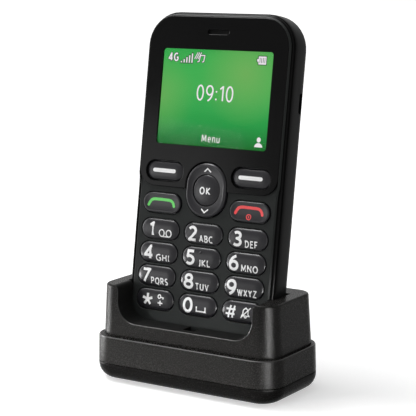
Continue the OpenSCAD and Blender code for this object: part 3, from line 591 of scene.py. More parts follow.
def carved(shell, cutters, finishes=()):
    """Cuts a shell with others, and gives back a new shell."""
    things = []
    for part in (shell, *cutters):
        part.mark()
        data = bpy.data.meshes.new("loose")
        part.mesh.to_mesh(data)
        part.mesh.free()
        for finish in finishes:
            data.materials.append(finish)
        things.append(bpy.data.objects.new("loose", data))
        scene.collection.objects.link(things[-1])
    block = things[0]
    for cutter in things[1:]:
        change = block.modifiers.new("cut", "BOOLEAN")
        change.object, change.operation, change.solver = cutter, "DIFFERENCE", "EXACT"
    result = block.evaluated_get(bpy.context.evaluated_depsgraph_get())
    whole = bpy.data.meshes.new_from_object(result)
    made = Shell(whole)
    for data in [thing.data for thing in things] + [whole]:
        bpy.data.meshes.remove(data)
    return made


print("cutters ready")

# %% [markdown]
# ## Front housing
# The front housing carries the sides of the phone and the keypad's face in one moulding. Around the
# glossy panel its edge stands up as a thin rim that catches the light, and below the panel the rim
# comes down in an S-shaped waist to the keypad's face. Outside that edge a fine bevel runs all
# round, with a shallow groove beside it, before the plain side begins. The groove's faces are
# painted near-black, as painted shade. Each ring below is drawn in from the widest outline by two
# distances and lies at two levels, one of each beside the panel and one beside the keypad. The
# keys' openings have a small chamfer, and a slot at the lower end lets speech in. The slot's walls
# are painted near-black too, as painted shade.

# %% Front housing: sizes
KEY_GAP = 0.25
LIP = 0.6
FACE_THICK = 1.3
WALL = 1.95
SIDE_REACH = (29, 34)           # where a cutter for a long side starts and ends
SPEECH_SLOT = (5.2, 2.5, 0.7)   # width, length and corner radius, as in the three below
PORT_HOLE = (2.3, 7.9, 1.1)
VOLUME_HOLE = (3.6, 20.4, 1.8)
CONTACT_SLOT = (3.2, 2.4, 0.3)
PINS = ("contact_pin_left", "contact_pin_right")
corner_radius = 13
phone_width = housing.size.x
phone_middle = (0, housing.middle.y)
phone_length = housing.size.y
panel = Box("front_panel")
face_level = panel.low.z - 0.2
parting = housing.low.z
RAMP = (-36, -30)
ramp_marks = [RAMP[0] + step for step in range(-1, 8)]
# Finish index of the faces painted near-black: painted shade in the groove and the speech slot.
GROOVE_SHADE = 2
EDGE = [  # inset beside the panel and beside the keypad, levels there, finish
    (0.43, 0.43, parting, parting, 0),
    (0.20, 0.20, parting + 0.6, parting + 0.6, 0),
    (0.06, 0.06, parting + 1.2, parting + 1.2, 0),
    (0.00, 0.00, parting + 1.8, parting + 1.8, 0),
    (0.00, 0.00, -3.60, -3.80, 0),
    (0.04, 0.04, -2.60, -2.80, 0),
    (0.12, 0.12, -1.95, -2.15, 0),
    (0.22, 0.24, -1.62, -1.75, 0),
    (0.50, 0.55, -1.50, -1.62, GROOVE_SHADE),
    (0.56, 0.62, -1.12, -1.30, GROOVE_SHADE),
    (0.54, 0.62, -1.03, -1.20, GROOVE_SHADE),
    (0.60, 0.75, -0.90, -1.02, 0),
    (0.82, 1.08, -0.66, -0.78, 0),
    (0.88, 1.25, -0.62, -0.74, 0),
    (0.96, 1.40, -0.66, -0.80, GROOVE_SHADE),
    (1.02, 1.75, -0.34, -0.84, GROOVE_SHADE),
    (1.06, 2.05, -0.02, -0.70, GROOVE_SHADE),
    (1.12, 2.20, 0.14, -0.52, 1),
    (1.38, 2.40, 0.48, -0.32, 1),
    (1.58, 2.52, 0.66, -0.23, 1),
    (1.68, 2.62, 0.70, -0.20, 1),
    (1.72, 2.68, 0.66, -0.20, 1),
    (1.75, 2.75, face_level, face_level, 1),
]
print("keypad face at", round(face_level, 3), "parting at", round(parting, 3))

# %% [markdown]
# Two outlines are needed again and again: the phone's own, and that of the hole round a key. The
# phone's gets more points along the waist, where its rings bend.


# %% Front housing: outlines
def phone_outline(inset, marks=ramp_marks):
    """The phone's outline, drawn in by inset."""
    outline = shrinking(phone_width, phone_length, corner_radius, phone_middle)
    return with_marks(outline(inset), marks)


def opening(node, grow):
    """The outline of a key's opening: the key without its lip, grown all round."""
    key = Box(node)
    width, length = key.size.x - 2 * (LIP - grow), key.size.y - 2 * (LIP - grow)
    radius = min(width, length) / 2 - (0.35 if node == "nav_pad" else 0)
    return rounded(width, length, radius, key.middle.xy)


print("phone outline:", len(phone_outline(0)), "points")

# %% [markdown]
# The shell is one mesh from the outside to the inside. Its rings could all be level, with the waist
# sculpted afterwards, but then its edge would not stay crisp. Here every point of a ring slides
# from its place beside the panel to its place beside the keypad along an S-shaped curve.

# %% Front housing: the shell
NUMBERS = ["1", "2", "3", "4", "5", "6", "7", "8", "9", "star", "0", "hash"]
number_keys = ["key_" + name for name in NUMBERS]
soft_keys = ["soft_key_left", "soft_key_right"]
dished_keys = ["call_key", "end_key"]
shell = Shell()
rings = []
for inset, keypad_inset, level, keypad_level, finish in EDGE:
    points = []
    for (x, y), (keypad_x, keypad_y) in zip(phone_outline(inset), phone_outline(keypad_inset)):
        share = smooth_step(y, *RAMP)
        points.append((keypad_x + (x - keypad_x) * share, keypad_y + (y - keypad_y) * share,
                       keypad_level + (level - keypad_level) * share))
    rings.append(shell.ring(points))
for first, second, row in zip(rings, rings[1:], EDGE[1:]):
    shell.band(first, second, row[4])
inner_level = face_level - FACE_THICK
glass = Box("lcd_glass")
chamfered = [(KEY_GAP + 0.32, face_level), (KEY_GAP + 0.12, face_level - 0.1),
             (KEY_GAP, face_level - 0.3), (KEY_GAP, inner_level)]
straight = [(KEY_GAP, face_level), (KEY_GAP, inner_level)]
holes = [(partial(opening, node), chamfered) for node in number_keys + dished_keys + ["nav_pad"]]
holes += [(partial(opening, node), straight) for node in soft_keys]
holes.append((growing(glass.size.x, glass.size.y, 0.9, glass.middle.xy),
              [(0.1, face_level), (0.1, inner_level)]))
outer_holes, inner_holes = shell.line_holes(holes, 1)
shell.skin(rings[-1], *outer_holes, finish=1)
inner_rings = shell.stack(phone_outline, [(WALL, inner_level), (WALL, parting)])
shell.skin(inner_rings[0], *inner_holes)
shell.band(inner_rings[1], rings[0])
print("openings in the face:", len(holes))

# %% [markdown]
# The holes in the sides are cut last: one for the socket, one for the volume key, the slot for
# speech, and two at the lower end that let the charging pins reach the contacts.


# %% Front housing: holes in its sides
def side_hole(size, up, level, side):
    """A cutter through a long side of the phone."""
    outline = rounded(*size, (level, up), 5)
    return plug(*([(side * x, y, z) for z, y in outline] for x in SIDE_REACH))


back_level = Box("back_cover").low.z
lower_end = housing.low.y
speech_outline = rounded(*SPEECH_SLOT, (0.4, lower_end + 5.75))
# The speech slot's walls are painted near-black: painted shade inside the slot.
speech_slot = plug(*(at_level(speech_outline, level) for level in (face_level - 0.8, 1)))
cutters = [side_hole(PORT_HOLE, 0.15, back_level + 3.95, 1),
           side_hole(VOLUME_HOLE, 4, face_level - 4.8, -1), speech_slot.paint(GROOVE_SHADE)]
for pin in PINS:
    spot = PHONE.inverted() @ (CRADLE @ Box(pin, CRADLE).middle)
    cutters.append(bar(rounded(*CONTACT_SLOT, (spot.x, spot.z), 4), lower_end - 1, lower_end + 3))
front_finishes = [black_shell, keypad_face, painted_shade_black]
phone_front = carved(shell, cutters, front_finishes).piece(
    "phone_front", PHONE, "phone", front_finishes, ["front_housing"], "phone_shell")
print("phone_front:", len(phone_front.data.polygons), "faces")

# %% [markdown]
# ## Glossy front panel
# The panel is one flat plate with a small rounded edge. The upper half of the navigation pad bites
# into its lower side, so its outline is drawn as a path: two big corners, two small ones and the
# arch over the pad. Cutting the arch out with a boolean would lose the rounding of its edge.

# %% Front panel
PANEL_TOP_RADIUS, PANEL_LOW_RADIUS, ARCH_RADIUS = 11, 7, 8.6
pad, ok = Box("nav_pad"), Box("ok_key")


def panel_outline(grow):
    """The panel's edge, grown outward."""
    half = panel.size.x / 2 + grow
    top, low = panel.high.y + grow, panel.low.y - grow
    high_r, low_r = PANEL_TOP_RADIUS + grow, PANEL_LOW_RADIUS + grow
    gap = KEY_GAP + 0.05 - grow
    arch_half = pad.size.x / 2 - LIP + gap
    arch_r = ARCH_RADIUS + gap
    arch_top = pad.high.y - LIP + gap
    points = []

    def corner(x, y, radius, start, turn=90, steps=10):
        for step in range(steps + 1):
            angle = radians(start + turn * step / steps)
            points.append((x + radius * cos(angle), y + radius * sin(angle)))

    corner(half - high_r, top - high_r, high_r, 0)
    corner(high_r - half, top - high_r, high_r, 90)
    corner(low_r - half, low + low_r, low_r, 180)
    points.append((-arch_half, low))
    corner(arch_r - arch_half, arch_top - arch_r, arch_r, 180, -90)
    corner(arch_half - arch_r, arch_top - arch_r, arch_r, 90, -90)
    points.append((arch_half, low))
    corner(half - low_r, low + low_r, low_r, 270)
    return points


picture = Box("screen_window")
picture_width, picture_height = picture.size.x - 0.33, picture.size.y - 0.85
picture_middle = (0.16, -0.10)
ear = Box("earpiece_mesh")
panel_back, panel_face = face_level + 0.02, panel.high.z
shell = Shell()
rings = shell.stack(panel_outline, [
    (0, panel_back), (0, panel_face - 0.22), (-0.06, panel_face - 0.09),
    (-0.19, panel_face - 0.02), (-0.34, panel_face)])
outlines = [  # with their chamfers
    (growing(picture_width + 0.06, picture_height + 0.06, 1.2, picture_middle), 0.05),
    (growing(ear.size.x - 1, ear.size.y - 1, ear.size.y / 2 - 0.5, ear.middle.xy), 0.25),
    (lambda grow: opening("soft_key_left", KEY_GAP + 0.05 + grow), 0.2),
    (lambda grow: opening("soft_key_right", KEY_GAP + 0.05 + grow), 0.2),
]
front_holes, back_holes = shell.line_holes([(outline, [
    (chamfer, panel_face), (chamfer * 0.3, panel_face - chamfer * 0.3),
    (0, panel_face - chamfer), (0, panel_back)]) for outline, chamfer in outlines])
shell.skin(rings[-1], *front_holes)
shell.skin(rings[0], *back_holes)
phone_panel = shell.piece(
    "phone_panel", PHONE, "phone", [panel_black], ["front_panel"], "panel_gloss")
print("phone_panel:", len(phone_panel.data.polygons), "faces")

# %% [markdown]
# ## Keys
# A number key is a pill with a cushion-shaped top: high and nearly flat in the middle, rolling over
# at its edge, so that light from above draws a bright band along its upper side. The call and end
# keys are dished the other way round, and the navigation pad is a dished ring with a domed key in
# its middle. Each is a stack of outlines drawn in step by step, from the lip that holds it in
# behind the face to the middle of its top.


# %% Pill-shaped keys
def key_piece(node, profile):
    """A pill-shaped key. profile lists (inset, level) from its edge to its middle."""
    key = Box(node)
    width, length = key.size.x - 2 * LIP, key.size.y - 2 * LIP
    steps = [(-LIP, key.low.z), (-LIP, key.low.z + 0.5), (0, key.low.z + 0.5)] + profile
    shell = Shell()
    rings = shell.stack(shrinking(width, length, length / 2, key.middle.xy), steps)
    shell.skin(rings[0])
    shell.close(rings[-1])
    name = node.replace("_key", "_button").replace("key_", "button_")
    return shell.piece(name, PHONE, node, [key_plastic], [node], "keys", sharp=60)


def cushion(half, edge, top, fullness=2.3, steps=14):
    """Profile of a domed top: steep at its edge, almost flat in its middle."""
    profile = []
    for step in range(steps):
        share = 1 - cos(step / steps * pi / 2)
        height = (1 - (1 - share) ** fullness) ** (1 / 1.7)
        profile.append((share * half, edge + (top - edge) * height))
    return profile


def dish(half, edge, rim, dip, steps=8):
    """Profile of a dished top: a rounded rim and a shallow hollow inside it."""
    profile = [(0, edge), (0.03, rim - 0.3), (0.14, rim - 0.12), (0.35, rim - 0.02), (0.6, rim)]
    for step in range(1, steps):
        share = step / steps
        profile.append((0.6 + share * (half - 0.65), rim - dip * sin(share * pi / 2) ** 0.8))
    return profile


key_tops = {}
for node in number_keys + soft_keys + dished_keys:
    half, top = Box(node).size.y / 2 - LIP, Box(node).high.z
    if node in dished_keys:
        profile = dish(half, face_level - 0.1, top, 0.28)
    else:
        profile = cushion(half - 0.02, face_level - 0.05, top + 0.1)
    key_tops[node] = key_piece(node, profile)
print("pill-shaped keys:", len(key_tops))

# %% [markdown]
# The navigation pad's dish lies between two different outlines, the pad's edge and a round hole.
# Both have as many points, so each ring in between is a mixture of the two, and no face is skewed.
# From below the pad is bored out wider, which leaves room for the rim that holds the OK key in.

# %% Navigation pad and OK key
DISH_DEPTH = 0.55
OK_RIM = 0.8        # how far the OK key's hidden rim stands out
WELL = 1.3          # how far the pad is bored out under its hole, to clear that rim
ok_radius = ok.size.x / 2 - OK_RIM
pad_outline = shrinking(pad.size.x - 2 * LIP, pad.size.y - 2 * LIP, ARCH_RADIUS, pad.middle.xy)
steps = [(-LIP, pad.low.z), (-LIP, pad.low.z + 0.4), (0, pad.low.z + 0.4), (0, pad.high.z - 0.75),
         (0.08, pad.high.z - 0.5), (0.3, pad.high.z - 0.24), (0.7, pad.high.z - 0.03),
         (0.95, pad.high.z)]
outlines = [at_level(pad_outline(inset), level) for inset, level in steps]
ridge, hole = outlines[-1], circle(ok_radius + KEY_GAP, pad.middle.xy)
for step in range(1, 9):
    share = step / 8
    level = pad.high.z - DISH_DEPTH * sin(share * pi / 2) ** 0.9
    outlines.append([(x + (hole_x - x) * share, y + (hole_y - y) * share, level)
                     for (x, y, z), (hole_x, hole_y) in zip(ridge, hole)])
well, well_top = circle(ok_radius + WELL, pad.middle.xy), ok.low.z + 0.75
outlines += [at_level(hole, well_top), at_level(well, well_top), at_level(well, pad.low.z)]
shell = Shell()
rings = shell.loft(outlines)
shell.band(rings[-1], rings[0])
key_tops["nav_pad"] = shell.piece(
    "navigation_pad", PHONE, "nav_pad", [key_plastic], ["nav_pad"], "keys", sharp=50)

shell = Shell()
ok_top = ok.high.z - 0.05
steps = [(ok_radius + OK_RIM, ok.low.z), (ok_radius + OK_RIM, ok.low.z + 0.45),
         (ok_radius, ok.low.z + 0.45)]
steps += [(ok_radius - inset, level)
          for inset, level in cushion(ok_radius - 0.02, ok_top - 0.95, ok_top)]
rings = shell.stack(lambda radius: circle(radius, ok.middle.xy), steps)
shell.skin(rings[0])
shell.close(rings[-1])
key_tops["ok_key"] = shell.piece(
    "ok_button", PHONE, "ok_key", [key_plastic], ["ok_key"], "keys", sharp=60)
print("navigation pad and OK key made")

# %% [markdown]
# ## Printed signs
# The keys are printed in white, with big figures for weak eyes and the usual letters beside them.
# A font would do, but drawn strokes suit a keypad better: every figure is a few bent lines of one
# width, as an engraver would cut them. All the lines of a sign are joined into one flat stencil of
# small triangles, and the stencil is laid on the key by dropping its points on the key's surface,
# so that it follows the curve.


# %% Strokes of the figures and letters
def bend(x, y, across, along, start, end, steps=14):
    """Points on an arc, in degrees."""
    angles = [radians(start + (end - start) * step / steps) for step in range(steps + 1)]
    return [(x + across * cos(angle), y + along * sin(angle)) for angle in angles]


GLYPHS = {  # width, then strokes on a box that is 1 high
    "0": (0.56, [bend(0.28, 0.5, 0.28, 0.5, 90, 450, 28)]),
    "1": (0.30, [[(0.0, 0.80), (0.27, 0.99), (0.27, 0)]]),
    "2": (0.56, [bend(0.27, 0.72, 0.27, 0.28, 155, -38) + [(0.0, 0.0), (0.57, 0.0)]]),
    "3": (0.54, [bend(0.23, 0.76, 0.26, 0.24, 140, -90) + bend(0.22, 0.26, 0.31, 0.26, 90, -140)]),
    "4": (0.62, [[(0.44, 0), (0.44, 1), (0.0, 0.27), (0.63, 0.27)]]),
    "5": (0.54, [[(0.52, 1), (0.08, 1), (0.06, 0.57)] + bend(0.22, 0.31, 0.31, 0.31, 118, -140)]),
    "6": (0.58, [bend(0.58, 0.33, 0.58, 0.72, 104, 180), bend(0.29, 0.31, 0.29, 0.31, 0, 360, 24)]),
    "7": (0.54, [[(0, 1), (0.55, 1), (0.15, 0)]]),
    "8": (0.58, [bend(0.29, 0.76, 0.23, 0.24, 0, 360, 24),
                 bend(0.29, 0.26, 0.29, 0.26, 0, 360, 24)]),
    "9": (0.58, [bend(0.0, 0.67, 0.58, 0.72, -76, 0), bend(0.29, 0.69, 0.29, 0.31, 0, 360, 24)]),
    "A": (0.66, [[(0, 0), (0.33, 1), (0.66, 0)], [(0.14, 0.3), (0.52, 0.3)]]),
    "B": (0.52, [[(0, 0), (0, 1)] + bend(0.2, 0.77, 0.27, 0.23, 90, -90) + [(0, 0.54)],
                 [(0, 0.54)] + bend(0.22, 0.27, 0.3, 0.27, 90, -90) + [(0, 0)]]),
    "C": (0.54, [bend(0.36, 0.5, 0.36, 0.5, 55, 305, 18)]),
    "D": (0.6, [[(0, 0), (0, 1)] + bend(0.14, 0.5, 0.46, 0.5, 90, -90, 18) + [(0, 0)]]),
    "E": (0.44, [[(0.45, 1), (0, 1), (0, 0), (0.46, 0)], [(0, 0.52), (0.38, 0.52)]]),
    "F": (0.42, [[(0.44, 1), (0, 1), (0, 0)], [(0, 0.5), (0.37, 0.5)]]),
    "G": (0.6, [bend(0.37, 0.5, 0.37, 0.5, 55, 325, 18) + [(0.64, 0.46), (0.42, 0.46)]]),
    "H": (0.56, [[(0, 0), (0, 1)], [(0.56, 0), (0.56, 1)], [(0, 0.52), (0.56, 0.52)]]),
    "I": (0.02, [[(0.01, 0), (0.01, 1)]]),
    "J": (0.24, [[(0.24, 1), (0.24, 0.18)] + bend(0.02, 0.18, 0.22, 0.26, 0, -85, 8)]),
    "K": (0.54, [[(0, 0), (0, 1)], [(0.5, 1), (0.06, 0.48), (0.54, 0)]]),
    "L": (0.42, [[(0, 1), (0, 0), (0.44, 0)]]),
    "M": (0.72, [[(0, 0), (0.05, 1), (0.36, 0.22), (0.67, 1), (0.72, 0)]]),
    "N": (0.58, [[(0, 0), (0, 1), (0.58, 0), (0.58, 1)]]),
    "O": (0.72, [bend(0.36, 0.5, 0.36, 0.5, 90, 450, 28)]),
    "P": (0.48, [[(0, 0), (0, 1)] + bend(0.2, 0.73, 0.29, 0.27, 90, -90) + [(0, 0.46)]]),
    "Q": (0.72, [bend(0.36, 0.5, 0.36, 0.5, 90, 450, 28), [(0.36, 0.12), (0.7, -0.16)]]),
    "R": (0.52, [[(0, 0), (0, 1)] + bend(0.2, 0.74, 0.28, 0.26, 90, -90) + [(0, 0.48)],
                 [(0.2, 0.48), (0.54, 0)]]),
    "S": (0.46, [bend(0.25, 0.75, 0.22, 0.25, 50, 270, 14)
                 + bend(0.22, 0.25, 0.25, 0.25, 90, -130, 14)]),
    "T": (0.56, [[(0, 1), (0.56, 1)], [(0.28, 1), (0.28, 0)]]),
    "U": (0.56, [[(0, 1), (0, 0.3)] + bend(0.28, 0.3, 0.28, 0.3, 180, 360, 14) + [(0.56, 1)]]),
    "V": (0.62, [[(0, 1), (0.31, 0), (0.62, 1)]]),
    "W": (0.92, [[(0, 1), (0.24, 0), (0.46, 0.92), (0.68, 0), (0.92, 1)]]),
    "X": (0.58, [[(0, 1), (0.58, 0)], [(0.58, 1), (0, 0)]]),
    "Y": (0.58, [[(0, 1), (0.29, 0.5), (0.58, 1)], [(0.29, 0.5), (0.29, 0)]]),
    "Z": (0.54, [[(0, 1), (0.54, 1), (0, 0), (0.56, 0)]]),
    "e": (0.46, [[(0.02, 0.38), (0.46, 0.38)] + bend(0.24, 0.36, 0.23, 0.36, 0, 310, 16)]),
    "n": (0.42, [[(0, 0), (0, 0.72)],
                 [(0, 0.42)] + bend(0.21, 0.46, 0.21, 0.26, 170, 0, 10) + [(0.42, 0)]]),
    "u": (0.42, [[(0, 0.72), (0, 0.24)] + bend(0.21, 0.24, 0.21, 0.24, 180, 360, 10)
                 + [(0.42, 0.72)], [(0.42, 0.4), (0.42, 0)]]),
    ":": (0.04, [[(0.02, 0.04), (0.02, 0.15)], [(0.02, 0.56), (0.02, 0.67)]]),
}


def words(text, left, low, wide, high, width, gap=0.36):
    """The strokes of a word that fills a box, drawn with a line of one width."""
    stops = [0]
    for letter in text:
        stops.append(stops[-1] + GLYPHS[letter][0] + gap)
    across, up = (wide - width) / (stops[-1] - gap), high - width
    return [[(left + width / 2 + (stop + x) * across, low + width / 2 + y * up) for x, y in line]
            for letter, stop in zip(text, stops) for line in GLYPHS[letter][1]]


print("figures and letters:", len(GLYPHS))

# %% [markdown]
# A line is a row of rectangles, with a mitre or a disc at each bend. Where they overlap, a Delaunay
# triangulation joins them into one flat area, and a grid of extra points makes the area fine enough
# to lie on a curve. A text object could be filled as quickly, but it would stay flat.


# %% Strokes as one flat stencil
def stroke_areas(line, half, round_ends):
    """The rectangles of a bent line, with mitres or discs that fill its corners."""
    closed = (Vector(line[0]) - Vector(line[-1])).length < 0.001 and len(line) > 3
    spots = []
    for spot in map(Vector, line[:-1] if closed else line):
        if not spots or (spot - spots[-1]).length > 0.01:
            spots.append(spot)
    ends = spots[1:] + spots[:1] if closed else spots[1:]
    ways = [(end - start).normalized() for start, end in zip(spots, ends)]
    disc = [Vector((cos(step * pi / 6), sin(step * pi / 6))) * half for step in range(12)]
    areas = []
    for start, end, way in zip(spots, ends, ways):
        side = Vector((-way.y, way.x)) * half
        areas.append([start + side, start - side, end - side, end + side])
    for spot, before, after in zip(ends, ways, ways[1:] + ways[:1] if closed else ways[1:]):
        turn = before.cross(after)
        if before.dot(after) < -0.2:
            areas.append([spot + point for point in disc])
        elif abs(turn) > 0.01:
            outer = half if turn < 0 else -half
            first, last = (Vector((-way.y, way.x)) * outer for way in (before, after))
            mitre = (first + last) / (1 + before.dot(after))
            areas.append([spot, spot + first, spot + mitre, spot + last])
    if round_ends and not closed:
        areas += [[spot + point for point in disc] for spot in (spots[0], spots[-1])]
    return areas


def stencil(strokes, width, round_ends, solids, step=0.5):
    """The points and triangles of all strokes joined together, fine enough to lie on a curve."""
    areas = [[Vector(point) for point in outline] for outline in solids]
    for line in strokes:
        areas += stroke_areas(line, width / 2, round_ends)
    spots, faces = [], []
    for area in areas:
        if sum(start.cross(end) for start, end in zip(area, area[1:] + area[:1])) < 0:
            area.reverse()
        faces.append(list(range(len(spots), len(spots) + len(area))))
        spots += area
    low = [min(spot[axis] for spot in spots) for axis in (0, 1)]
    count = [int((max(spot[axis] for spot in spots) - low[axis]) / step) for axis in (0, 1)]
    # The grid is a little off the round numbers, so that its points miss the edges of the lines.
    spots += [Vector((low[0] + (column + 0.51) * step, low[1] + (row + 0.53) * step))
              for column in range(count[0]) for row in range(count[1])]
    made = delaunay_2d_cdt(spots, [], faces, 0, 1e-5)
    return made[0], [face for face, inside in zip(made[2], made[5]) if inside]


print("a line of two bends fills", len(stroke_areas([(0, 0), (0, 1), (1, 1), (1, 0)], 0.1, False)),
      "areas")

# %% [markdown]
# Ink has a thickness, if only a small one. So each print is a closed plate whose upper side floats
# just above the plastic and whose lower side lies in it: the two never share a plane, and no
# flicker can appear between them.


# %% Printing on a surface
def lay_print(name, strokes, width, body, finish, under=None, level=0.0, lift=0.035, thick=0.06,
              round_ends=False, slot=None, solids=()):
    """Prints strokes on a piece, or at a level, as one thin closed plate that rides on its body."""
    tree = None
    if under:
        back = PHONE.inverted()
        tree = BVHTree.FromPolygons([back @ vertex.co for vertex in under.data.vertices],
                                    [tuple(face.vertices) for face in under.data.polygons])
    spots, faces = stencil(strokes, width, round_ends, solids)
    shell = Shell()
    sheets = []
    for offset in (lift, lift - thick):
        sheet = {}
        for index in sorted({index for face in faces for index in face}):
            x, y = spots[index]
            found = tree.ray_cast(Vector((x, y, 50)), Vector((0, 0, -1)))[0] if tree else None
            sheet[index] = shell.mesh.verts.new((x, y, (found.z if found else level) + offset))
        sheets.append(sheet)
    top, low = sheets
    sides = {}
    for face in faces:
        shell.close([top[index] for index in face], [low[index] for index in reversed(face)])
        for start, end in zip(face, face[1:] + face[:1]):
            if sides.pop((end, start), None) is None:
                sides[(start, end)] = True
    shell.close(*([top[start], low[start], low[end], top[end]] for start, end in sides))
    return shell.piece(name, PHONE, body, [finish], slot=slot, sharp=50)


print("prints are laid on", len(key_tops), "keys")

# %% [markdown]
# On the number keys the figures stand at the left and the letters at the right, all at one height.
# A table holds the few numbers that differ from key to key, which keeps the rest in one loop.

# %% Figures and letters on the number keys
FIGURE_LOW, FIGURE_HIGH, FIGURE_LINE = -3.15, 5.9, 1.08
LETTER_LOW, LETTER_HIGH, LETTER_LINE = -3.25, 2.75, 0.46
LEGENDS = {  # figure's left edge and width, then the letters' left edge and width
    "1": (-4.8, 2.55, "", 0, 0), "2": (-6.5, 4.1, "ABC", -1.4, 6.1),
    "3": (-6.05, 4.05, "DEF", -0.7, 5.6), "4": (-6.3, 4.5, "GHI", -0.6, 6.1),
    "5": (-6.6, 4.15, "JKL", -0.9, 5.5), "6": (-6.95, 4.35, "MNO", -1.55, 7.4),
    "7": (-6.5, 4.1, "PQRS", -2.1, 7.9), "8": (-6.7, 4.5, "TUV", -1.4, 6.2),
    "9": (-7.15, 4.4, "WXYZ", -2.35, 8.5), "0": (-6.2, 4.5, "", 0, 0),
}
for figure, (left, wide, letters, letters_left, letters_wide) in LEGENDS.items():
    node = "key_" + figure
    x, y = Box(node).middle.xy
    strokes = words(figure, x + left, y + FIGURE_LOW, wide, FIGURE_HIGH, FIGURE_LINE)
    lay_print("figure_" + figure, strokes, FIGURE_LINE, node, print_white, key_tops[node])
    if letters:
        strokes = words(letters, x + letters_left, y + LETTER_LOW, letters_wide, LETTER_HIGH,
                        LETTER_LINE)
        lay_print("letters_" + figure, strokes, LETTER_LINE, node, print_white, key_tops[node])
print("legends on", len(LEGENDS), "number keys")

# %% [markdown]
# The other signs are given as strokes too, in millimetres from the middle of their key. Finished
# drawings could be traced, but so few strokes are quicker to type and easy to correct. The small
# bead on the 5 lets a finger find the middle of the keypad.


# %% Signs on the other keys
def ray(x, y, angle, far):
    """A straight stroke from a middle outward."""
    return [(x, y), (x + cos(radians(angle)) * far, y + sin(radians(angle)) * far)]


def sign(name, node, strokes, width, finish=print_white, round_ends=False):
    """Prints strokes that are given from the middle of a key."""
    x, y = Box(node).middle.xy
    moved = [[(x + px, y + py) for px, py in stroke] for stroke in strokes]
    lay_print(name, moved, width, node, finish, key_tops[node], round_ends=round_ends)


sign("sign_messages", "key_1", [
    bend(1.2, -1.45, 1.15, 1.3, -90, 270, 24), bend(4.4, -1.45, 1.15, 1.3, -90, 270, 24),
    [(1.2, -2.75), (4.4, -2.75)]], 0.46)
sign("sign_star", "key_star", [ray(-2.9, -0.15, 90 + 72 * arm, 2.3) for arm in range(5)], 1.0)
sign("sign_lock", "key_star", [
    bend(2.5, 1.35, 0.62, 0.7, 0, 360, 18), [(3.1, 1.2), (4.6, 0.95)],
    [(4.3, 1.0), (4.2, 0.45)]], 0.42)
sign("sign_plus", "key_star", [[(3.05, -2.15), (3.05, -0.15)], [(1.95, -1.15), (4.15, -1.15)]],
     0.5)
sign("sign_space", "key_0", [[(0.05, -0.3), (0.05, -2.1), (4.0, -2.1), (4.0, -0.3)]], 0.55)
sign("sign_hash", "key_hash", [
    [(-5.4, -2.5), (-4.4, 2.1)], [(-3.7, -2.5), (-2.7, 2.1)],
    [(-6.3, 0.7), (-2.3, 0.7)], [(-6.6, -1.1), (-2.6, -1.1)]], 0.72)
sign("sign_bell", "key_hash", [
    [(0.5, -1.2), (1.05, -0.6)] + bend(2.15, 0.3, 1.1, 1.25, 180, 0, 12)
    + [(3.25, -0.6), (3.8, -1.2), (0.5, -1.2)], bend(2.15, -1.4, 0.5, 0.5, 180, 360, 8),
    [(2.15, 1.5), (2.15, 2.0)], [(0.1, -2.1), (4.2, 2.0)]], 0.42)
for side in ("left", "right"):
    sign("bar_" + side, "soft_key_" + side, [[(-4.7, 0.05), (4.35, 0.05)]], 1.5, round_ends=True)
HANDSET = [(-6.05, -1.1), (-5.75, -0.45), (-5.35, 0.2), (-4.75, 0.85), (-3.9, 1.2), (-3, 1.3),
           (0, 1.3), (3, 1.25), (4.1, 1.1), (4.85, 0.65), (5.35, -0.1), (5.65, -0.95)]
sign("sign_call", "call_key", [HANDSET], 1.1, print_green, round_ends=True)
sign("sign_end", "end_key", [[(x, y + 0.3) for x, y in HANDSET]], 1.1, print_red, round_ends=True)
sign("sign_power", "end_key", [bend(-0.1, -1.9, 0.95, 0.95, 0, 360, 20),
                               [(-0.1, -2.35), (-0.1, -1.45)]], 0.34, print_red)
CHEVRON = [(-1.35, -0.55), (0, 0.6), (1.35, -0.55)]
sign("sign_up", "nav_pad", [[(x + 0.1, y + 7.6) for x, y in CHEVRON]], 0.5, round_ends=True)
sign("sign_down", "nav_pad", [[(x + 0.1, -y - 7.85) for x, y in CHEVRON]], 0.5, round_ends=True)
sign("sign_ok", "ok_key", words("OK", -2.6, -1.7, 4.9, 2.9, 0.5, gap=0.42), 0.5)
x, y = Box("key_5").middle.xy
nub_level = Box("key_5").high.z + 0.05
bead = [(0.55, -0.25), (0.5, 0.05), (0.38, 0.2), (0.2, 0.29), (0.06, 0.32)]
nub = Shell()
rings = nub.stack(lambda radius: circle(radius, (x - 0.23, y + 1.85), 5),
                  [(radius, nub_level + height) for radius, height in bead])
nub.close(rings[0], rings[-1])
nub.piece("nub_5", PHONE, "key_5", [key_plastic], slot="keys")
print("signs printed")

# %% [markdown]
# ## Screen
# The picture lies on the display glass, just behind the clear window. It shines by itself, so it is
# an emissive surface: a soft green that turns yellowish towards the upper right and the left side
# and dark at the bottom. The signs on it are thin white shapes on darker ones.


# %% Display picture
def shining(name, colour, strength=1.0):
    """A finish that shines by itself."""
    finish = Finish(name)
    flicker = finish.noise(4)
    return finish.surface(
        Base_Color=(0.01, 0.01, 0.01), Roughness=flicker * 0.1 + 0.3, Specular_IOR_Level=0.1,
        Emission_Color=finish.mix(flicker, colour, tuple(part * 0.94 for part in colour)),
        Emission_Strength=strength,
    )


def shade(red, green, blue):
    """A colour as a screen shows it, 0 to 255, as the light values that a shader needs."""
    values = (value / 255 for value in (red, green, blue))
    return tuple(v / 12.92 if v <= 0.04045 else ((v + 0.055) / 1.055) ** 2.4 for v in values)


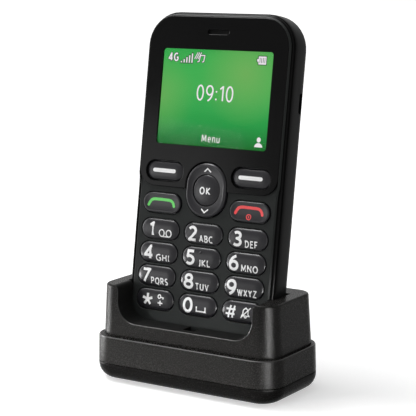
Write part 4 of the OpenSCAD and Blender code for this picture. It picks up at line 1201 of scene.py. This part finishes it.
picture_finish = Finish("picture_green")
spot = picture_finish.place(PHONE)
u, v, w = picture_finish.parts(spot)
height_share = v * (1 / picture.size.y) + 0.5
base_green = picture_finish.node("ShaderNodeValToRGB", {"stops": [
    (0.0, shade(26, 104, 40)), (0.12, shade(33, 134, 60)), (0.25, shade(40, 156, 71)),
    (0.42, shade(54, 168, 80)), (0.62, shade(68, 176, 84)), (0.88, shade(62, 176, 82)),
    (1.0, shade(54, 168, 78))]}, {0: height_share})
glow = 0.0
for place, reach, strength in (((13, 10, 0), 20, 1.0), ((-25, 0, 0), 16, 0.8)):
    apart = picture_finish.node(
        "ShaderNodeVectorMath", {"operation": "DISTANCE"}, {0: spot, 1: place}, output=1)
    near = picture_finish.math("MAXIMUM", 1 - apart * (1 / reach), 0.0)
    glow = near * strength + glow
picture_green = picture_finish.surface(
    Base_Color=(0.004, 0.01, 0.004), Roughness=0.4, Specular_IOR_Level=0.0,
    Emission_Color=picture_finish.mix(
        picture_finish.math("MINIMUM", glow, 1.0), base_green, shade(112, 178, 92)),
    Emission_Strength=1.0,
)
ink_white = shining("ink_white", shade(244, 238, 244))
ink_dark = shining("ink_dark", shade(44, 74, 50))
display_glass = Finish("display_glass")
cloud = display_glass.noise(5)
display_clear = display_glass.surface(
    Base_Color=(0.02, 0.02, 0.02), Roughness=cloud * 0.02 + 0.03, Specular_IOR_Level=0.5,
    Alpha=cloud * 0.01 + 0.04,
)
print("display finishes made")

# %% [markdown]
# Three plates lie behind one another: the display's glass, the shining picture and the clear
# window. One plate with a shining front would do, but with a plate for each, every part keeps a
# single finish and the window can be changed without the picture.


# %% Display glass, its picture and the clear window
def slab(name, outline, low, high, body, finish, nodes=(), slot=None, edge=0.08, place=PHONE):
    """A plate with a small chamfer. outline(grow) draws it."""
    shell = Shell()
    rings = shell.stack(outline, [(-edge, low), (0, low + edge), (0, high - edge), (-edge, high)])
    shell.skin(rings[0])
    shell.skin(rings[-1])
    return shell.piece(name, place, body, [finish], nodes, slot)


picture_level = glass.high.z + 0.02
slab("display_glass", growing(glass.size.x, glass.size.y, 0.6, glass.middle.xy),
     glass.low.z, glass.high.z, "phone", dark_part, ["lcd_glass"], "screen")
slab("display_picture", growing(picture_width + 0.2, picture_height + 0.2, 1.1, picture_middle),
     glass.high.z - 0.02, picture_level, "phone", picture_green, slot="screen", edge=0.01)
slab("screen_window_clear", growing(picture_width, picture_height, 1.15, picture_middle),
     picture.low.z + 0.3, picture.high.z, "phone", display_clear, ["screen_window"],
     "window_clear")
print("picture:", round(picture_width, 2), "by", round(picture_height, 2), "mm")

# %% [markdown]
# The signs on the screen come from the same stencils as the prints on the keys, but they shine. A
# darker copy behind some of them keeps them readable on the bright green.

# %% Signs on the screen
screen_print = partial(lay_print, body="phone", level=picture_level, slot="screen")


def screen_sign(name, strokes, width, halo=0.0, solids=()):
    """A white sign on the picture, with a darker one behind it if it has a halo."""
    screen_print(name, strokes, width, finish=ink_white, lift=0.06, thick=0.02, solids=solids)
    if halo:
        screen_print(name + "_halo", strokes, width + 2 * halo, finish=ink_dark, lift=0.02,
                     thick=0.01, round_ends=True)


screen_sign("clock", words("09:10", -8.1, -1.2, 16.4, 6.1, 0.6, gap=0.32), 0.6)
screen_sign("menu_word", words("Menu", -4.2, -16.75, 8.1, 2.9, 0.34), 0.34)
screen_sign("network", words("4G", -22.3, 13.3, 4.5, 3.3, 0.55), 0.55, halo=0.22)
screen_sign("signal_bars", [[(-16.2 + 1.2 * step, 12.95), (-16.2 + 1.2 * step, 13.5 + 0.75 * step)]
                            for step in range(5)], 0.5, halo=0.24)
screen_sign("silent_hatch", [[(-10.3 + step, 14.5), (-8.9 + step, 17.0)]
                             for step in (0, 0.8, 1.6)], 0.32, halo=0.12)
screen_sign("silent_note", [
    [(-8.2, 13.5), (-7.65, 15.9), (-5.75, 15.9), (-6.1, 13.5)], [(-8.9, 13.4), (-8.2, 13.6)],
    [(-6.8, 13.4), (-6.1, 13.6)]], 0.36, halo=0.2)
battery = [(18.0, 13.35), (21.6, 13.35), (21.6, 16.6), (18.0, 16.6), (18.0, 15.6), (17.4, 15.6),
           (17.4, 14.4), (18.0, 14.4)]
cells = [[(18.75 + 0.7 * step, 14.0), (18.75 + 0.7 * step, 16.0)] for step in range(4)]
screen_sign("battery_sign", [], 0.4, solids=[battery])
screen_print("battery_rim", [battery + battery[:1]], 0.28, finish=ink_dark, lift=0.09, thick=0.02)
screen_print("battery_cells", cells, 0.24, finish=ink_dark, lift=0.09, thick=0.02)
screen_sign("contact_sign", [], 0.5, solids=[  # a head and its shoulders
    bend(21.0, -14.35, 0.85, 0.95, 0, 342, 19), bend(21.0, -17.1, 1.75, 1.55, 180, 0, 16)])
print("screen made")

# %% [markdown]
# ## Back cover and side keys
# The back cover is a shallow tray with a big rolled edge, which makes the phone pleasant to hold.
# It has openings for the camera's window, the assistance key and the loudspeaker. A cube with a
# bevel would give the same roll, but not the same wall inside it.

# %% Back cover
BACK_ROLL, BACK_WALL, BACK_RIM = 4, 1.2, 2.5
SLOT_PITCH, SLOT_WIDTH, SLOT_LENGTH, SPEAKER_DROP = 2.4, 1.2, 9, -14
assist = Box("assist_key")
assist_radius = assist.size.x / 2 - 1
eye = Box("camera_window")
cover_top = Box("back_cover").high.z
edge_steps = []
for step in range(9):
    angle = radians(step * 90 / 8)
    level = back_level + BACK_ROLL * (1 - cos(angle))
    if level < cover_top - 0.3:
        edge_steps.append((BACK_ROLL * (1 - sin(angle)), level))
high_inset = BACK_ROLL - sqrt(BACK_ROLL**2 - (BACK_ROLL - (cover_top - 0.12 - back_level))**2)
edge_steps += [(high_inset, cover_top - 0.12), (high_inset + 0.12, cover_top)]
plain_outline = partial(phone_outline, marks=[])
shell = Shell()
rings = shell.stack(plain_outline, edge_steps)
inner = shell.stack(plain_outline, [(BACK_RIM, cover_top), (BACK_RIM, back_level + BACK_WALL)])
shell.band(rings[-1], inner[0])
outlines = [  # with their chamfers
    (lambda grow: circle(eye.size.x / 2 + 0.1 + grow, eye.middle.xy, 12), 0.15),
    (lambda grow: circle(assist_radius + 0.25 + grow, assist.middle.xy, 12), 0.3)]
outlines += [(growing(SLOT_WIDTH, SLOT_LENGTH, SLOT_WIDTH / 2,
                      (step * SLOT_PITCH, SPEAKER_DROP), 5), 0.15) for step in range(-2, 3)]
outer_holes, inner_holes = shell.line_holes([(outline, [
    (chamfer, back_level), (0, back_level + chamfer), (0, back_level + BACK_WALL)])
    for outline, chamfer in outlines])
shell.skin(rings[0], *outer_holes)
shell.skin(inner[-1], *inner_holes)
shell.piece("phone_back", PHONE, "phone", [black_shell], ["back_cover"], "phone_shell")
print("back cover made")

# %% [markdown]
# The assistance key and the camera's eye are round. They are made as on a lathe, from a radius and
# a level for each ring.


# %% Turned parts
def turned(name, node, steps, finish, slot, body):
    """A round part from (radius, level) steps, closed at both ends."""
    shell = Shell()
    middle = Box(node).middle.xy
    rings = shell.stack(lambda radius: circle(radius, middle, 12), steps)
    shell.close(rings[0], rings[-1])
    shell.piece(name, PHONE, body, [finish], [node], slot, sharp=45)


low = assist.low.z
steps = [(0.3 + assist_radius * share, low + 0.25 * share**2.5)
         for share in (0, 0.3, 0.55, 0.75, 0.88)]
steps += [(assist_radius - 0.12, low + 0.32), (assist_radius, low + 0.5),
          (assist_radius, low + 1.3), (assist_radius + 1, low + 1.3),
          (assist_radius + 1, low + 1.75), (1.5, low + 1.75), (1.5, assist.high.z)]
turned("assistance_button", "assist_key", steps, key_plastic, "phone_shell", "assist_key")
low = eye.low.z
steps = [(0.4, low + 0.14), (2.3, low + 0.12), (2.7, low), (3.7, low), (4.0, low + 0.15),
         (4.0, eye.high.z)]
lens_glass = Finish("lens_glass")
smear = lens_glass.noise(3)
camera_lens = lens_glass.surface(
    Base_Color=lens_glass.mix(smear, (0.004, 0.005, 0.009), (0.010, 0.009, 0.016)),
    Roughness=smear * 0.05 + 0.04, Coat_Weight=0.6)
turned("camera_eye", "camera_window", steps, camera_lens, "camera_glass", "phone")

print("turned parts made")

# %% [markdown]
# The volume rocker is a stack of rings too, but it is laid on its side. Its wide flange stays
# behind the housing's wall and keeps it from falling out.

# %% Volume rocker
rocker = Box("volume_rocker")
inner_side = rocker.high.x


def side_stack(shell, width, length, radius, steps):
    """Rings of an outline that's seen from the phone's left side: (inset, x) for each."""
    outline = shrinking(width, length, radius)
    return shell.loft([[(x, rocker.middle.y + along, rocker.middle.z + through)
                        for through, along in outline(inset)] for inset, x in steps])


shell = Shell()
left = rocker.low.x
rings = side_stack(shell, 3.2, 20.0, 1.6, [
    (0.62, left), (0.34, left + 0.05), (0.12, left + 0.18), (0, left + 0.42),
    (0, inner_side - 0.5)])
flange = side_stack(shell, rocker.size.z, rocker.size.y, 1, [
    (0, inner_side - 0.5), (0, inner_side)])
shell.band(rings[-1], flange[0])
shell.close(rings[0], flange[-1])
shell.piece("volume_button", PHONE, "volume_rocker", [black_shell], ["volume_rocker"],
            "phone_shell", sharp=50)
print("volume rocker made")

# %% [markdown]
# ## Cradle
# The cradle has three mouldings: a tray with a rolled foot, a ring that stands out as a ledge, and
# a cover whose front is cut away in a wide U, so that the keypad stays in reach while the phone
# charges. Each is a rounded oblong that draws in as it rises, so rings suit them. Only the pocket
# and the U are cut out with booleans, because their walls meet at a slant that rings can't follow.

# %% Tray
tray = Box("bottom_tray", CRADLE)
ring_box = Box("cradle_ring", CRADLE)
foot = Box("foot_pad", CRADLE)
inlet = Box("power_inlet", CRADLE)
BASE_RADIUS, TRAY_ROLL, RING_DRAFT = 9.8, 6, 0.23
base_outline = shrinking(tray.size.x, tray.size.y, BASE_RADIUS, tray.middle.xy, 14)
cover_outline = shrinking(79.22, 33.52, 7.32, (0, 0.46), 14)
floor_level, seam, ledge = tray.low.z, ring_box.low.z, ring_box.high.z
steps = []
for step in range(10):
    angle = radians(step * 10)
    steps.append((TRAY_ROLL * (1 - sin(angle)), floor_level + TRAY_ROLL * (1 - cos(angle))))
steps += [(0, seam - 0.30), (0.03, seam - 0.20), (0.12, seam - 0.12), (0.4, seam - 0.1)]
shell = Shell()
rings = shell.stack(base_outline, steps)
inner = shell.stack(base_outline, [
    (1.8, seam - 0.1), (3.6, floor_level + 3), (6.2, floor_level + 1.6)])
shell.band(rings[-1], inner[0])
shell.skin(inner[-1])
loops = shell.stack(growing(foot.size.x, foot.size.y, 3, foot.middle.xy), [
    (0.1, floor_level), (0.1, foot.high.z + 0.02)])
shell.skin(rings[0], loops[0])
shell.skin(loops[1])
# The tray's darker grain is painted shade.
shell.piece("cradle_tray", CRADLE, "cradle", [tray_grain_painted_shade], ["bottom_tray"], "cradle_black")
slab("rubber_foot", growing(foot.size.x, foot.size.y, 3, foot.middle.xy), foot.low.z, foot.high.z,
     "cradle", rubber_foot, ["foot_pad"], "rubber_black", edge=0.2, place=CRADLE)
print("tray made up to", round(seam, 2), "mm")

# %% [markdown]
# The ring meets the tray at a narrow gap. A dark line could be painted there, but a real gap looks
# right from every side. The faces of the ring's rolled upper edge get a lighter, shinier finish: a
# painted highlight along that edge.

# %% Ring
shell = Shell()
rings = shell.stack(base_outline, [
    (0.4, seam + 0.1), (0.12, seam + 0.12), (0.03, seam + 0.22), (0.0, seam + 0.36),
    (RING_DRAFT, ledge - 0.55), (RING_DRAFT + 0.06, ledge - 0.28),
    (RING_DRAFT + 0.22, ledge - 0.09), (RING_DRAFT + 0.45, ledge)])
inner = shell.stack(cover_outline, [
    (-0.22, ledge), (-0.1, ledge - 0.12), (-0.1, seam + 2.4), (-0.75, seam + 2.4),
    (-0.75, seam + 0.1)])
shell.band(rings[-1], inner[0])
shell.band(inner[-1], rings[0])
inlet_hole = rounded(11.5, 7.5, 1.0, (0, inlet.middle.z), 5)
shell = carved(shell, [bar(inlet_hole, tray.high.y - 6, tray.high.y + 2)])
# The faces just under the ledge take the lighter, shinier finish: a painted highlight along the
# edge.
for face in shell.mesh.faces:
    if ledge - 0.4 < face.calc_center_median().z < ledge - 0.01:
        face.material_index = 1
cradle_band = shell.piece("cradle_band", CRADLE, "cradle", [cradle_grain, painted_edge_highlight],
                          ["cradle_ring"], "cradle_black", sharp=35)
print("ring made up to", round(ledge, 2), "mm")

# %% [markdown]
# The cover is a closed block first. The pocket's cutter stands in the phone's frame, because the
# phone leans. The U's cutter runs straight back from the front, where it widens in a quarter
# circle: that rounds the U's edge, whose thin bright line comes partly from the rounding and partly
# from a lighter, shinier finish on it, a painted highlight. A third cutter makes the block hollow.
# The pocket and the U, both grown by the wall, are cut out of it before it is used.

# %% Cradle cover: sizes
GAP, COVER_WALL, COVER_INSET = 0.25, 1.8, 1.05
TOP_ROLL, EDGE_ROUND, POST_ROLL = 0.8, 0.35, 2.2
WINDOW_WIDTH, WINDOW_LOW, WINDOW_RADIUS = 60.4, 23.3, 8
WINDOW_BACK, WINDOW_FRONT = -1, -40
POCKET_LENGTH = 80
# Finish indices of the cover: the second paints shade, the fourth paints a highlight on edges.
PLAIN, DARK, WALLS, HIGHLIGHT_EDGES = range(4)
cover_finishes = [cradle_grain, painted_shade_black, window_wall, painted_edge_highlight]
cover_top_level = Box("cradle_cover", CRADLE).high.z
cover_low_level = seam + 0.25
pocket_low = lower_end - GAP
LEAN = CRADLE.inverted() @ PHONE


def drawn_in(level):
    """How far the cover is drawn in at a level."""
    return COVER_INSET * (level - ledge) / (cover_top_level - ledge)


def front_y(level):
    """How far forward the cover's front is at a level."""
    return min(y for x, y in cover_outline(drawn_in(level)))


print("the cover's front goes from", round(front_y(ledge), 2), "to",
      round(front_y(cover_top_level), 2), "mm")


# %% Cradle cover: cutters
def pocket_cutter(grow):
    """The room for the phone, in the phone's frame."""
    grow += GAP
    points = rounded(phone_width + 2 * grow, POCKET_LENGTH, corner_radius + grow,
                     (0, lower_end - grow + POCKET_LENGTH / 2), 10)
    levels = (back_level - grow, face_level + grow)
    return plug(*(at_level(points, level) for level in levels)).moved(LEAN)


def window_outline(grow, flare=True):
    """The U in the front, with a rounding outward at the top of each post."""
    half, low, radius = WINDOW_WIDTH / 2 + grow, WINDOW_LOW - grow, WINDOW_RADIUS + grow
    side = [(half - radius + radius * sin(angle), low + radius * (1 - cos(angle)))
            for angle in (radians(step * 9) for step in range(11))]
    if flare:
        side += [(half + POST_ROLL * (1 - cos(angle)),
                  cover_top_level - POST_ROLL * (1 - sin(angle)))
                 for angle in (radians(step * 11.25) for step in range(9))]
        half += POST_ROLL
    side.append((half, cover_top_level + 4))
    return side + [(-x, z) for x, z in reversed(side)]


def window_cutter():
    """The window, with an edge that is rounded over towards the front.

    Its curve starts just in front of the cover, so that the two faces never coincide.
    """
    outlines = [[(x, WINDOW_BACK, z) for x, z in window_outline(0)]]
    for step in range(6):
        angle = radians(step * 18)
        outlines.append([(x, front_y(z) - 0.02 + EDGE_ROUND * (1 - sin(angle)), z)
                         for x, z in window_outline(EDGE_ROUND * (1 - cos(angle)))])
    outlines.append([(x, WINDOW_FRONT, z) for x, z in window_outline(EDGE_ROUND)])
    cutter = plug(*outlines)
    # The faces of the rounding take the lighter, shinier finish, a painted highlight; the rest are
    # walls.
    for face in cutter.mesh.faces:
        middle = face.calc_center_median()
        near = middle.y < front_y(middle.z) + EDGE_ROUND - 0.03
        face.material_index = HIGHLIGHT_EDGES if near else WALLS
    return cutter


print("window outline:", len(window_outline(0)), "points")


# %% Cradle cover: the piece
def cover_block(steps):
    """A closed block from (inset, level) steps of the cover's outline."""
    return plug(*(at_level(cover_outline(inset), level) for inset, level in steps))


steps = [(0.34, cover_low_level), (0.34, ledge + 0.22), (0.06, ledge + 0.42), (0.02, ledge + 0.6)]
for step in range(7):
    angle = radians(step * 15)
    level = cover_top_level - TOP_ROLL * (1 - sin(angle))
    steps.append((drawn_in(level) + TOP_ROLL * (1 - cos(angle)), level))
hollow = carved(
    cover_block([(COVER_WALL, cover_low_level - 1), (COVER_WALL, ledge),
                 (COVER_WALL + COVER_INSET, cover_top_level - COVER_WALL)]),
    [pocket_cutter(COVER_WALL),
     bar(window_outline(COVER_WALL, flare=False), WINDOW_BACK, WINDOW_FRONT)])
plug_hole = bar(rounded(7.6, 2.9, 0.9, (0, inlet.middle.z), 5), 10, 30)
# The notch's walls are painted near-black: painted shade, so that the notch shows as a dark hole.
speech_notch = bar(rounded(5.2, 3.6, 1.0, (0.4, WINDOW_LOW + 0.2), 5), -12.6, -5.5)
cutters = [pocket_cutter(0), window_cutter(), hollow, plug_hole, speech_notch.paint(DARK)]
for pin in PINS:
    middle = Box(pin).middle
    shaft = bar(circle(0.95, (middle.x, middle.z), 5), pocket_low - 4, pocket_low + 2)
    cutters.append(shaft.moved(LEAN))
cradle_body = carved(cover_block(steps), cutters, cover_finishes).piece(
    "cradle_body", CRADLE, "cradle", cover_finishes, ["cradle_cover"], "cradle_black", sharp=35)
for piece in (cradle_body, cradle_band):
    piece.modifiers.new("even_shading", "WEIGHTED_NORMAL").keep_sharp = True
print("cradle_body:", len(cradle_body.data.polygons), "faces")

# %% [markdown]
# ## Parts that stay as measured
# The inside of the phone and of the cradle keeps its measured shape. Each part gets the finish of
# the real thing: boards in green lacquer, cans and screws in steel, contacts in gold, rubber and
# silicone where something is pressed or sealed. Copies could be made and dressed instead, but
# nobody sees them unless the phone is opened, so the measured parts themselves are dressed.

# %% Finishes of the inner parts
mesh_cloth = Finish("mesh_cloth")
u, v, w = mesh_cloth.parts(mesh_cloth.place(PHONE))
weave = mesh_cloth.math("SINE", u * 18) * mesh_cloth.math("SINE", v * 18)
dust_mesh = mesh_cloth.surface(
    Base_Color=mesh_cloth.mix(weave * 0.5 + 0.5, (0.001, 0.001, 0.001), (0.006, 0.006, 0.006)),
    Roughness=weave * 0.1 + 0.6, Normal=mesh_cloth.bump(weave, 0.03), Specular_IOR_Level=0.05)
INNER = {
    dust_mesh: ["earpiece_mesh"],
    steel: ["earpiece", "shield_can", "vibration_motor", "sim_holder", "housing_screws",
            "cradle_screws", "ballast_plate", "power_inlet", "dome_sheet"],
    # The side port's socket is near-black too: painted shade in the opening in the side.
    gold: ["microphone", "battery_contacts", "charge_contacts", *PINS],
    painted_shade_black: ["side_port"],
    board_green: ["main_board", "cradle_board"],
    flex_amber: ["antenna_strip", "contact_flex"],
    silicone: ["key_web"],
    light_box: ["backlight"],
    wrap_white: ["battery_pack"],
    dark_part: ["loudspeaker", "camera_module", "contact_block", "rear_housing"],
}
for finish, nodes in INNER.items():
    for node in nodes:
        for slot in frame["nodes"][node].material_slots:
            slot.material = finish
print("inner parts dressed:", sum(len(nodes) for nodes in INNER.values()))

# %% [markdown]
# ## Studio
# The floor is a wide pale plane that glows more and more towards its far edge, so that it melts
# into the white background without a horizon. The background is white only for rays that look at
# it. As a source of light it stays dim, because the lamps have to shape the phone.

# %% Floor and background
def shown(finish):
    """1 for the rays that show the background: seen directly, in a mirror or through glass."""
    rays = finish.node("ShaderNodeLightPath").socket.node.outputs
    seen, mirrored, through = (Link(finish, rays[f"Is {kind} Ray"])
                               for kind in ("Camera", "Glossy", "Transmission"))
    return finish.math("MAXIMUM", finish.math("MAXIMUM", seen, mirrored), through)


floor_finish = Finish("studio_floor")
PALE_RADIUS = 700
far = floor_finish.node("ShaderNodeVectorMath", {"operation": "LENGTH"},
                        {0: floor_finish.place()}, output=1)
far = floor_finish.math("MINIMUM", far * (1 / PALE_RADIUS), 1.0)
paper = floor_finish.noise(30)
floor_white = floor_finish.surface(
    Base_Color=floor_finish.mix(paper, (0.78, 0.78, 0.78), (0.82, 0.82, 0.82)),
    Roughness=0.9, Specular_IOR_Level=0.1,
    Emission_Color=floor_finish.mix(
        shown(floor_finish) * (far * 0.55 + 0.45), (0, 0, 0), (1, 1, 1)),
    Emission_Strength=1.0,
)
bpy.ops.mesh.primitive_plane_add(size=6, location=(0, 0, cad_box[0].z))
floor = bpy.context.object
floor.name = "studio_floor"
floor.data.materials.append(floor_white)

AMBIENT = 0.2
scene.world = bpy.data.worlds.new("studio")
sky = Finish("studio", scene.world)
light = sky.node("ShaderNodeBackground", values={
    "Color": (1, 1, 1, 1), "Strength": shown(sky) * (1 - AMBIENT) + AMBIENT})
sky.node("ShaderNodeOutputWorld", values={"Surface": light})
print("floor and background made")

# %% [markdown]
# Of the nine soft lamps, five light everything: two above, a strip at each side and a card low at
# the left. The other four are small aids. A lamp that is only "glossy" shows as a reflection and
# lights nothing else, and one that is only "diffuse" fills a shadow without being mirrored. One
# large dome would be simpler, but it would leave no edge brighter than another. A lamp's spread is
# the angle of the grid in front of it.


# %% Lamps
def softbox(name, place, aim, size, power, spread=180, only=None):
    """A rectangular lamp, in metres, that points at aim."""
    data = bpy.data.lights.new(name, "AREA")
    data.shape = "RECTANGLE"
    data.size, data.size_y = size
    data.energy = power
    data.spread = radians(spread)
    lamp = bpy.data.objects.new(name, data)
    scene.collection.objects.link(lamp)
    lamp.location = place
    lamp.visible_camera = False
    lamp.visible_diffuse, lamp.visible_glossy = only != "glossy", only != "diffuse"
    lamp.rotation_euler = (Vector(aim) - Vector(place)).to_track_quat("-Z", "Y").to_euler()


for lamp in (  # name, place, aim, size, power, spread, the only rays it shows to
    ("overhead", (-0.1, -0.25, 0.85), (0, 0, 0.08), (0.7, 0.5), 1.8),
    ("top_left", (-0.45, -0.08, 0.80), (0, 0, 0.08), (0.3, 0.3), 3.2),
    ("left_strip", (-0.5, -0.06, 0.16), (0, 0, 0.05), (0.12, 0.32), 0.8),
    ("right_strip", (0.40, -0.38, 0.17), (0, 0, 0.05), (0.05, 0.32), 0.4),
    ("left_card", (-0.40, -0.42, 0.06), (-0.01, 0, 0.10), (0.26, 0.26), 0.88),
    ("low_card", (-0.10, -0.165, 0.016), (0, 0, 0.009), (0.2, 0.012), 0.027, 16, "diffuse"),
    ("right_glint", (0.069, -0.041, 0.022), (0.038, -0.016, 0.020), (0.016, 0.04), 0.024, 46,
     "glossy"),
    ("left_glint", (-0.076, -0.027, 0.022), (-0.037, -0.018, 0.018), (0.014, 0.04), 0.015, 50,
     "glossy"),
    ("top_glint", (-0.32, 0.0, 0.78), (0, 0, 0.08), (0.7, 0.3), 14.0, 180, "glossy"),
):
    softbox(*lamp)
print("lamps:", len(bpy.data.lights))

scene.view_settings.view_transform = "Standard"
